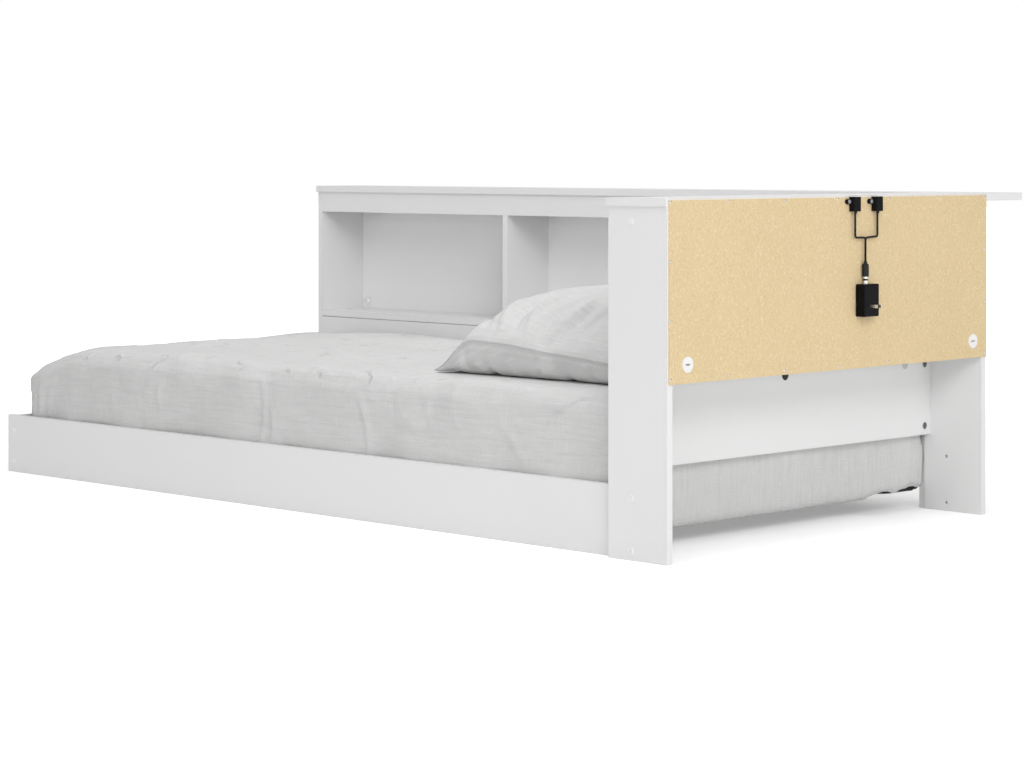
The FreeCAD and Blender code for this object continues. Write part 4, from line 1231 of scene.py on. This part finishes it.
# ---------------------------------------------------------------- bedding
@dataclass
class Mattress:
    """The foam mattress and the fitted sheet that is stretched over it.

    The folds are rows of two places, a width and a height: those on the near side by places
    along the bed and up, and those on top by places across and along it.
    """

    edge: float = 0.043
    foot_edge: float = 0.026
    squareness: float = 7.0
    spacing: float = 0.0075
    foam_spacing: float = 0.0125
    foam_gap: float = 0.002
    foam_inset: float = 0.011
    dark_underside: float = 0.016
    crown: float = 0.006
    hem: float = 0.068
    foot_fall: float = 0.010
    corner_fall: float = 0.040
    corner_reach: float = 0.115
    sag: float = 0.027
    lifted: tuple = (0.235, -0.885)
    top_wave: float = 0.0026
    side_wave: float = 0.0027
    crumple: float = 0.0020
    head_pucker: float = 0.0018
    under_pillow: float = 0.0010
    sheet_inset: float = 0.0012
    far_limit: float = 0.0008
    corner_lift: float = 0.008
    hem_hang: float = 0.0025
    side_folds: tuple = (
        (0.164, 0.275, 0.168, 0.120, 0.0075, 0.0042),
        (0.131, 0.225, 0.124, 0.135, 0.0065, 0.0034),
        (0.966, 0.250, 0.974, 0.135, 0.0085, 0.0042),
        (0.930, 0.215, 0.925, 0.150, 0.0080, 0.0020),
        (-0.148, 0.265, -0.184, 0.120, 0.0085, 0.0040),
        (-0.225, 0.202, -0.453, 0.189, 0.0120, -0.0030),
        (-0.560, 0.235, -0.640, 0.150, 0.0110, 0.0030),
        (-0.848, 0.262, -0.846, 0.185, 0.0065, 0.0038),
        (-0.690, 0.238, -0.735, 0.262, 0.0055, -0.0045),
        (-0.725, 0.258, -0.790, 0.296, 0.0050, -0.0055),
        (-0.770, 0.290, -0.825, 0.300, 0.0050, -0.0045),
        (0.520, 0.255, 0.505, 0.170, 0.0100, 0.0022),
        (0.700, 0.230, 0.690, 0.150, 0.0110, 0.0018),
        (-0.350, 0.270, -0.375, 0.200, 0.0090, 0.0024))
    top_folds: tuple = (
        (-0.516, 0.728, -0.440, 0.700, 0.0080, 0.0034),
        (-0.531, 0.466, -0.450, 0.505, 0.0080, 0.0036),
        (-0.375, 0.560, -0.295, 0.602, 0.0080, 0.0042),
        (-0.175, 0.750, -0.110, 0.806, 0.0095, 0.0044),
        (-0.090, 0.740, -0.213, 0.551, 0.0085, 0.0040),
        (-0.500, 0.060, -0.535, -0.060, 0.0080, 0.0040),
        (-0.543, 0.030, -0.470, -0.020, 0.0080, 0.0036),
        (-0.180, 0.378, -0.314, 0.121, 0.0095, 0.0034),
        (-0.126, 0.370, -0.200, 0.290, 0.0080, 0.0032),
        (0.253, 0.632, 0.106, 0.422, 0.0095, 0.0042),
        (0.060, 0.560, -0.020, 0.420, 0.0090, 0.0030),
        (0.180, 0.180, 0.060, 0.020, 0.0100, 0.0032))

    def box_grid(self, low: Vector, high: Vector, spacing: float, hem: float | None
                 ) -> tuple[np.ndarray, list, np.ndarray, np.ndarray]:
        """A box's faces as grids that share their edges, turned into a round-edged block.

        Args:
            low, high: the corners of the block.
            spacing: the size of a grid square.
            hem: width of the strip that is kept of the underside, or None for all of it.
        Returns:
            Points, faces, outward directions and a UV pair for each face corner.
        """
        size = [high[i] - low[i] for i in range(3)]
        count = [max(2, round(s / spacing)) for s in size]
        number: dict[tuple, int] = {}
        faces, uvs = [], []
        for axis, end in product(range(3), (0, 1)):
            a, b = [i for i in range(3) if i != axis]
            turn = -1 if (end == 1) == (axis == 1) else 1
            for i, j in product(range(count[a]), range(count[b])):
                if (axis, end) == (2, 0) and hem is not None and not self.hemmed(
                        low, size, (i + 0.5) / count[0], (j + 0.5) / count[1], hem):
                    continue
                cell = []
                for di, dj in ((0, 0), (1, 0), (1, 1), (0, 1)):
                    key = [0, 0, 0]
                    key[axis], key[a], key[b] = end * count[axis], i + di, j + dj
                    cell.append((number.setdefault(tuple(key), len(number)), key))
                faces.append([n for n, _ in cell[::turn]])
                uvs += [self.unfold(axis, end, [size[m] * key[m] / count[m] for m in range(3)],
                                    size) for _, key in cell[::turn]]
        box = np.array(low) + np.array(size) * np.array(list(number)) / np.array(count)
        points, away = self.rounded(box, low, high)
        return points, faces, away, np.array(uvs)

    def rounded(self, box: np.ndarray, low: Vector, high: Vector
                ) -> tuple[np.ndarray, np.ndarray]:
        """Round a box: most upwards and towards the foot, where its corners turn round too.

        Args:
            box: places on the box.
            low, high: its corners.
        Returns:
            The places on the rounded block and their outward directions.
        """
        tall, long = high[2] - low[2], high[1] - low[1]
        rise = smooth_step(box[:, 2], low[2], low[2] + 0.6 * tall)
        footward = smooth_step(box[:, 1], low[1] + 0.5 * long, high[1] - 0.10)
        wide = np.maximum(rise, footward)
        radius = (self.foot_edge + (self.edge - self.foot_edge) * wide)[:, None]
        inner = np.clip(box, np.array(low) + radius, np.array(high) - radius)
        away = box - inner
        square = self.squareness + (2.0 - self.squareness) * footward
        level = (np.abs(away[:, :2]) ** square[:, None]).sum(axis=1) ** (2 / square)
        length = np.sqrt(level + away[:, 2] ** 2)[:, None]
        return inner + radius * away / length, away / np.linalg.norm(away, axis=1)[:, None]

    def hemmed(self, low: Vector, size: list, across: float, along: float, hem: float) -> bool:
        """Tell whether the sheet's hem covers a place on the underside.

        Args:
            low, size: the block's lower corner and its size.
            across, along: the place as shares of that size.
            hem: the hem's width.
        Returns:
            True where it does.
        """
        x, y = low[0] + size[0] * across, low[1] + size[1] * along
        if x > self.lifted[0] and y < self.lifted[1] + 0.06:
            return False
        edge = min(min(across, 1 - across) * size[0], min(along, 1 - along) * size[1])
        return edge < hem

    @staticmethod
    def unfold(axis: int, end: int, p: list, size: list) -> tuple[float, float]:
        """Work out a cloth coordinate that runs on from the top down each side.

        Args:
            axis, end: which side of the block it is.
            p: the place, from the block's lower corner.
            size: the block's size.
        Returns:
            The coordinate in metres.
        """
        if axis == 2:
            return p[0], p[1]
        drop = size[2] - p[2]
        if axis == 0:
            return (size[0] + drop if end else -drop), p[1]
        return p[0], (size[1] + drop if end else -drop)

    def fall(self, points: np.ndarray, low: Vector, high: Vector) -> np.ndarray:
        """How far the worn foot end, and most of all its near corner, stands below the middle.

        Args:
            points: places on the block.
            low, high: the corners of the block.
        Returns:
            The drop of each place in metres.
        """
        upper = smooth_step(points[:, 2], low.z + 0.10, high.z)
        corner = np.hypot(points[:, 0] - low.x, points[:, 1] - high.y)
        end = self.foot_fall * smooth_step(points[:, 1], high.y - 0.32, high.y)
        return upper * (end + self.corner_fall * np.exp(-((corner / self.corner_reach) ** 2)))

    def pressed(self, points: np.ndarray) -> np.ndarray:
        """Tell where the pillow lies on the sheet and presses it flat.

        Args:
            points: places on the sheet.
        Returns:
            1 under the pillow and 0 away from it.
        """
        low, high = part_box("pillowcase")
        share = smooth_step(points[:, 2], low.z - 0.05, low.z - 0.01)
        for axis in (0, 1):
            share = share * smooth_step(points[:, axis], low[axis] - 0.03, low[axis] + 0.01)
            share = share * smooth_step(points[:, axis], high[axis] + 0.03, high[axis] - 0.01)
        return share

    def build(self) -> None:
        """Make the mattress, which sags at its far head corner, and its sheet."""
        low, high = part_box("mattress")
        knit = Cloth((0.80, 0.80, 0.79), (0.70, 0.70, 0.69), 0.0022, 0.15,
                     underside=(0.012, 0.012, 0.013), underside_top=low.z + self.dark_underside)
        gap = Vector((self.foam_gap,) * 3)
        points, faces, away, uvs = self.box_grid(low + gap, high - gap, self.foam_spacing, None)
        points = points - away * self.foam_inset
        x, y = self.lifted
        sag = (smooth_step(points[:, 0], x - 0.02, x + 0.10)
               * smooth_step(points[:, 1], y + 0.05, y - 0.03)
               * smooth_step(points[:, 2], low.z + 0.06, low.z + 0.01))
        points[:, 2] -= self.sag * sag
        points[:, 2] -= self.fall(points, low, high)
        core = new_piece("mattress_foam", points, faces, knit.material("knitted_cover"))
        set_uv(core, uvs)
        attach(core, "mattress_set")
        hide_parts("mattress")
        self.sheet()

    def sheet_relief(self, points: np.ndarray, away: np.ndarray, low: Vector, high: Vector
                     ) -> np.ndarray:
        """How far the sheet stands off the block: a crowned top, waves, crumple and folds.

        Args:
            points: places on the block.
            away: their outward directions.
            low, high: the corners of the block.
        Returns:
            The height of each place in metres.
        """
        up = smooth_step(away[:, 2], 0.45, 0.98)
        near, head = (smooth_step(-away[:, axis], 0.3, 0.8) for axis in (0, 1))
        side = np.sqrt(np.clip(1 - away[:, 2] ** 2, 0, 1))
        free = smooth_step(points[:, 2], low[2] + 0.02, low[2] + 0.13)
        edge = np.minimum(points - np.array(low), np.array(high) - points)[:, :2].min(axis=1)
        height = -self.crown * np.exp(-edge / 0.07) * smooth_step(away[:, 2], 0.0, 0.9)
        height += up * self.top_wave * Waves(3, 0.18, 0.5).at(points)
        height += side * free * self.side_wave * Waves(5, 0.09, 0.32).at(points)
        crumple, patch = Waves(8, 0.05, 0.16, 36), Waves(9, 0.2, 0.5)
        height += ((up + side * free) * self.crumple * crumple.ridges(points)
                   * smooth_step(patch.at(points), -0.4, 0.9))
        height += near * folded(self.side_folds, points[:, 1:])
        height += up * folded(self.top_folds, points[:, :2])
        puckers = Waves(14, 0.04, 0.13, 30)
        height += head * free * self.head_pucker * puckers.ridges(points * (1.0, 1.0, 0.45))
        pressed = self.pressed(points)
        return height * (1 - pressed) + pressed * self.under_pillow

    def sheet(self) -> None:
        """Make the fitted sheet, with a hem that hangs at the head and lifts at its far corner.
        """
        low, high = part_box("fitted_sheet")
        linen = Cloth(creases=0.55, crease_floor=high.z - 0.022).material("slub_linen_sheet")
        points, faces, away, uvs = self.box_grid(low, high, self.spacing, self.hem)
        height = self.sheet_relief(points, away, low, high)
        head_hem = (smooth_step(-away[:, 1], 0.3, 0.8)
                    * smooth_step(points[:, 2], low[2] + 0.045, low[2]))
        points[:, 2] -= self.fall(points, low, high)
        points = points + away * (height - self.sheet_inset)[:, None]
        points[:, 0] = np.minimum(points[:, 0], high[0] + self.far_limit)
        x = self.lifted[0]
        corner = head_hem * smooth_step(points[:, 0], x - 0.01, x + 0.05)
        lift = self.corner_lift * (1 + 0.5 * Waves(21, 0.03, 0.05).at(points))
        points[:, 2] += corner * lift
        hang = self.hem_hang + 0.0012 * Waves(22, 0.05, 0.12).at(points)
        points[:, 2] -= head_hem * (1 - corner) * hang
        cloth = new_piece("fitted_sheet_cloth", points, faces, linen)
        set_uv(cloth, uvs)
        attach(cloth, "mattress_set")
        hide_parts("fitted_sheet")
        log.info("fitted sheet: %d faces", len(faces))


@dataclass
class Pillow:
    """The filled pillow in its case: two panels sewn along their rim, with drooping corners.

    A place on it is given by shares across and along the bed; the seam's height on the near
    side follows a few levels from the head to the foot. The folds are rows of two places, a
    width and a height: puckers above the near seam and soft folds on top by places across and
    along the bed, and creases in the near lower side and the ear by places along it and up.
    """

    across: int = 112
    along: int = 96
    crowding: float = 0.45
    seam_levels: tuple = ((0.0, 0.030), (0.19, 0.043), (0.45, 0.056), (0.64, 0.068),
                          (0.73, 0.072), (0.84, 0.075), (0.90, 0.052), (0.96, 0.016), (1.0, 0.001))
    far_level: float = 0.058
    corner_droop: float = 0.045
    underside_reach: float = 0.050
    underside_turn: float = 3.4
    seam_lip: float = 0.0022
    side_tuck: float = 0.020
    end_tuck: float = 0.024
    top_wave: float = 0.0030
    crumple: float = 0.0022
    lower_wave: float = 0.0024
    roof_gap: float = 0.004
    floor_gap: float = 0.0004
    lifts: tuple = ((-0.314, 0.022, 0.0035), (-0.423, 0.010, 0.0060), (-0.640, 0.010, 0.0050))
    upper_folds: tuple = (
        (-0.405, -0.440, -0.270, -0.410, 0.0105, 0.01105),
        (-0.405, -0.478, -0.255, -0.452, 0.0105, -0.01275),
        (-0.405, -0.515, -0.245, -0.493, 0.0105, 0.01275),
        (-0.405, -0.548, -0.255, -0.536, 0.0105, -0.01360),
        (-0.405, -0.580, -0.255, -0.576, 0.0105, 0.01190),
        (-0.405, -0.612, -0.265, -0.612, 0.0105, -0.01020),
        (-0.405, -0.648, -0.285, -0.656, 0.0105, 0.00850),
        (-0.405, -0.400, -0.295, -0.360, 0.0105, -0.00765),
        (-0.30, -0.72, -0.12, -0.66, 0.013, -0.0050),
        (-0.33, -0.33, -0.20, -0.42, 0.014, 0.0040),
        (-0.10, -0.31, -0.06, -0.44, 0.014, 0.0045),
        (0.10, -0.32, 0.12, -0.45, 0.015, 0.0040),
        (0.27, -0.50, 0.13, -0.53, 0.014, 0.0045),
        (0.27, -0.66, 0.14, -0.64, 0.014, 0.0040))
    lower_folds: tuple = (
        (-0.358, 0.382, -0.372, 0.340, 0.0060, -0.0027),
        (-0.318, 0.352, -0.368, 0.312, 0.0065, -0.0025),
        (-0.340, 0.345, -0.350, 0.318, 0.0060, 0.0018),
        (-0.400, 0.372, -0.440, 0.318, 0.0075, 0.0025),
        (-0.425, 0.372, -0.475, 0.322, 0.0070, -0.0022),
        (-0.462, 0.366, -0.520, 0.318, 0.0090, 0.0025),
        (-0.640, 0.352, -0.685, 0.310, 0.0075, 0.0027),
        (-0.672, 0.352, -0.720, 0.306, 0.0070, -0.0027),
        (-0.705, 0.348, -0.745, 0.306, 0.0070, 0.0025))

    def seam_height(self, s: np.ndarray, t: np.ndarray) -> np.ndarray:
        """Work out the height of the seam's surface over the mattress.

        Args:
            s, t: shares across and along the pillow.
        Returns:
            The height of each place in metres.
        """
        places, levels = zip(*self.seam_levels)
        near = sum(np.interp(t + shift, places, levels) for shift in (0.0, -0.02, 0.02)) / 3
        far = np.full_like(t, self.far_level)
        for end in (0.0, 1.0):
            corner = ((1 - s) / 0.10) ** 2 + ((t - end) / 0.11) ** 2
            far = far - self.corner_droop * np.exp(-corner)
        return near + (far - near) * smooth_step(s, 0.05, 0.75)

    def swell(self, s: np.ndarray, t: np.ndarray) -> np.ndarray:
        """Work out the upper panel's rise, which is flat at the near ear.

        Args:
            s, t: shares across and along the pillow.
        Returns:
            The share of the crown's height over the seam.
        """
        a, b = np.abs(2 * s - 1), np.abs(2 * t - 1)
        blunt_side, blunt_end = (1 - a ** 2.3) ** 0.70, (1 - b ** 3.4) ** 0.55
        ear = 1 - np.exp(-((s / 0.11) ** 2 + ((1 - t) / 0.13) ** 2) * 1.1)
        return blunt_side * blunt_end * ear

    def shares(self, count: int) -> np.ndarray:
        """Shares from 0 to 1 that crowd a little towards both ends."""
        even = np.linspace(0, 1, count + 1)
        return self.crowding * (0.5 - 0.5 * np.cos(np.pi * even)) + (1 - self.crowding) * even

    def build(self) -> None:
        """Make the pillow in its case, and stitch its seam."""
        low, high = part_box("pillowcase")
        s, t = np.meshgrid(self.shares(self.across), self.shares(self.along), indexing="ij")
        width, length = high.x - low.x, high.y - low.y
        tuck_x = self.side_tuck * np.sin(np.pi * t) ** 0.8 * np.where(s < 0.5, 0.4, 1.0)
        tuck_y = self.end_tuck * np.sin(np.pi * s) ** 0.8
        x = low.x + width * s + tuck_x * (1 - 2 * s)
        y = low.y + length * t + tuck_y * (1 - 2 * t)
        seam = self.seam_height(s, t)
        crown = high.z - low.z - 0.002
        upper = low.z + seam + (crown - seam) * self.swell(s, t)
        inward = np.minimum.reduce([s * width, (1 - s) * width, t * length, (1 - t) * length])
        sink = np.clip(inward / self.underside_reach, 0, 1)
        turn = self.underside_turn
        lower = low.z + seam * (1 - np.clip(1 - (1 - sink) ** turn, 0, 1) ** (1 / turn))
        self.shape(np.stack([x, y, upper], -1), np.stack([x, y, lower], -1), low, high)

    def shape(self, upper: np.ndarray, lower: np.ndarray, low: Vector, high: Vector) -> None:
        """Join the two panels' grids into one skin, crease it and make the piece.

        Args:
            upper, lower: the panels' points.
            low, high: the corners of the pillowcase.
        """
        nx, ny = self.across, self.along
        number, points, faces, uvs = {}, [], [], []
        for under, grid in enumerate((upper, lower)):
            for i, j in product(range(nx + 1), range(ny + 1)):
                key = (-1 if i in (0, nx) or j in (0, ny) else under, i, j)
                if key not in number:
                    number[key] = len(points)
                    points.append(grid[i, j])
            for i, j in product(range(nx), range(ny)):
                cell = [(i, j), (i + 1, j), (i + 1, j + 1), (i, j + 1)]
                cell = cell[::-1] if under else cell
                faces.append([number[(under, a, b) if (under, a, b) in number else (-1, a, b)]
                              for a, b in cell])
                uvs += [(grid[a, b, 0] + 2 * under, grid[a, b, 1] + grid[a, b, 2] * under)
                        for a, b in cell]
        rim = [n for (layer, _, _), n in number.items() if layer < 0]
        linen = Cloth(seam="seam").material("slub_linen_case")
        piece = new_piece("pillow_in_case", np.array(points), faces, linen)
        set_uv(piece, uvs)
        self.crease(piece, rim, low, high)
        sewn = piece.data.attributes.new("seam", "FLOAT", "POINT")
        on_seam = np.zeros(len(points), np.float32)
        on_seam[rim] = 1.0
        sewn.data.foreach_set("value", on_seam)
        smooth = piece.modifiers.new("smooth", "SUBSURF")
        smooth.levels = smooth.render_levels = 1
        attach(piece, "pillow_set")
        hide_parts("pillow", "pillowcase")
        log.info("pillow: %d faces", len(faces))

    def crease(self, piece: bpy.types.Object, rim: list[int], low: Vector, high: Vector) -> None:
        """Push the skin along its own directions by its folds, its crumple and the seam's lip.

        Args:
            piece: the pillow.
            rim: the numbers of the points on its seam.
            low, high: the corners of the pillowcase.
        """
        mesh = piece.data
        points, away = np.empty((2, len(mesh.vertices) * 3))
        mesh.vertices.foreach_get("co", points)
        mesh.vertices.foreach_get("normal", away)
        points, away = points.reshape(-1, 3), away.reshape(-1, 3)
        up = smooth_step(away[:, 2], 0.05, 0.5)
        near = smooth_step(-away[:, 0], 0.05, 0.5) * smooth_step(-away[:, 2], -0.35, 0.0)
        off_ground = smooth_step(points[:, 2], low.z + 0.001, low.z + 0.014)
        height = up * self.top_wave * Waves(31, 0.10, 0.24).at(points)
        patch = smooth_step(Waves(33, 0.15, 0.4).at(points), -0.3, 0.9)
        height += up * self.crumple * Waves(32, 0.04, 0.11, 36).ridges(points) * patch
        height += (1 - up) * off_ground * self.lower_wave * Waves(34, 0.03, 0.10, 30).at(points)
        height += up * folded(self.upper_folds, points[:, :2])
        height += near * off_ground * folded(self.lower_folds, points[:, 1:])
        height[rim] = self.seam_lip
        moved = points + away * height[:, None]
        moved[:, 2] = np.clip(moved[:, 2], low.z + self.floor_gap, high.z + self.roof_gap)
        hem = smooth_step(moved[:, 2], low.z + 0.018, low.z + 0.005)
        hem *= smooth_step(moved[:, 0], low.x + 0.10, low.x + 0.05)
        for place, reach, rise in self.lifts:
            moved[:, 2] += hem * rise * np.exp(-(((moved[:, 1] - place) / reach) ** 2))
        mesh.vertices.foreach_set("co", moved.ravel())
        mesh.update()


def main() -> None:
    """Build the studio and the bed."""
    logging.basicConfig(level=logging.INFO, format="%(name)s: %(message)s")
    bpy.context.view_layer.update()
    for part in (Studio, Carcass, SlatDeck, NailedBacks, ChargingSet, Mattress, Pillow):
        part().build()
    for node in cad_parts.values():
        if not node.data.materials:
            log.info("no finish yet: %s", node.name)


if __name__ == "__main__":
    main()
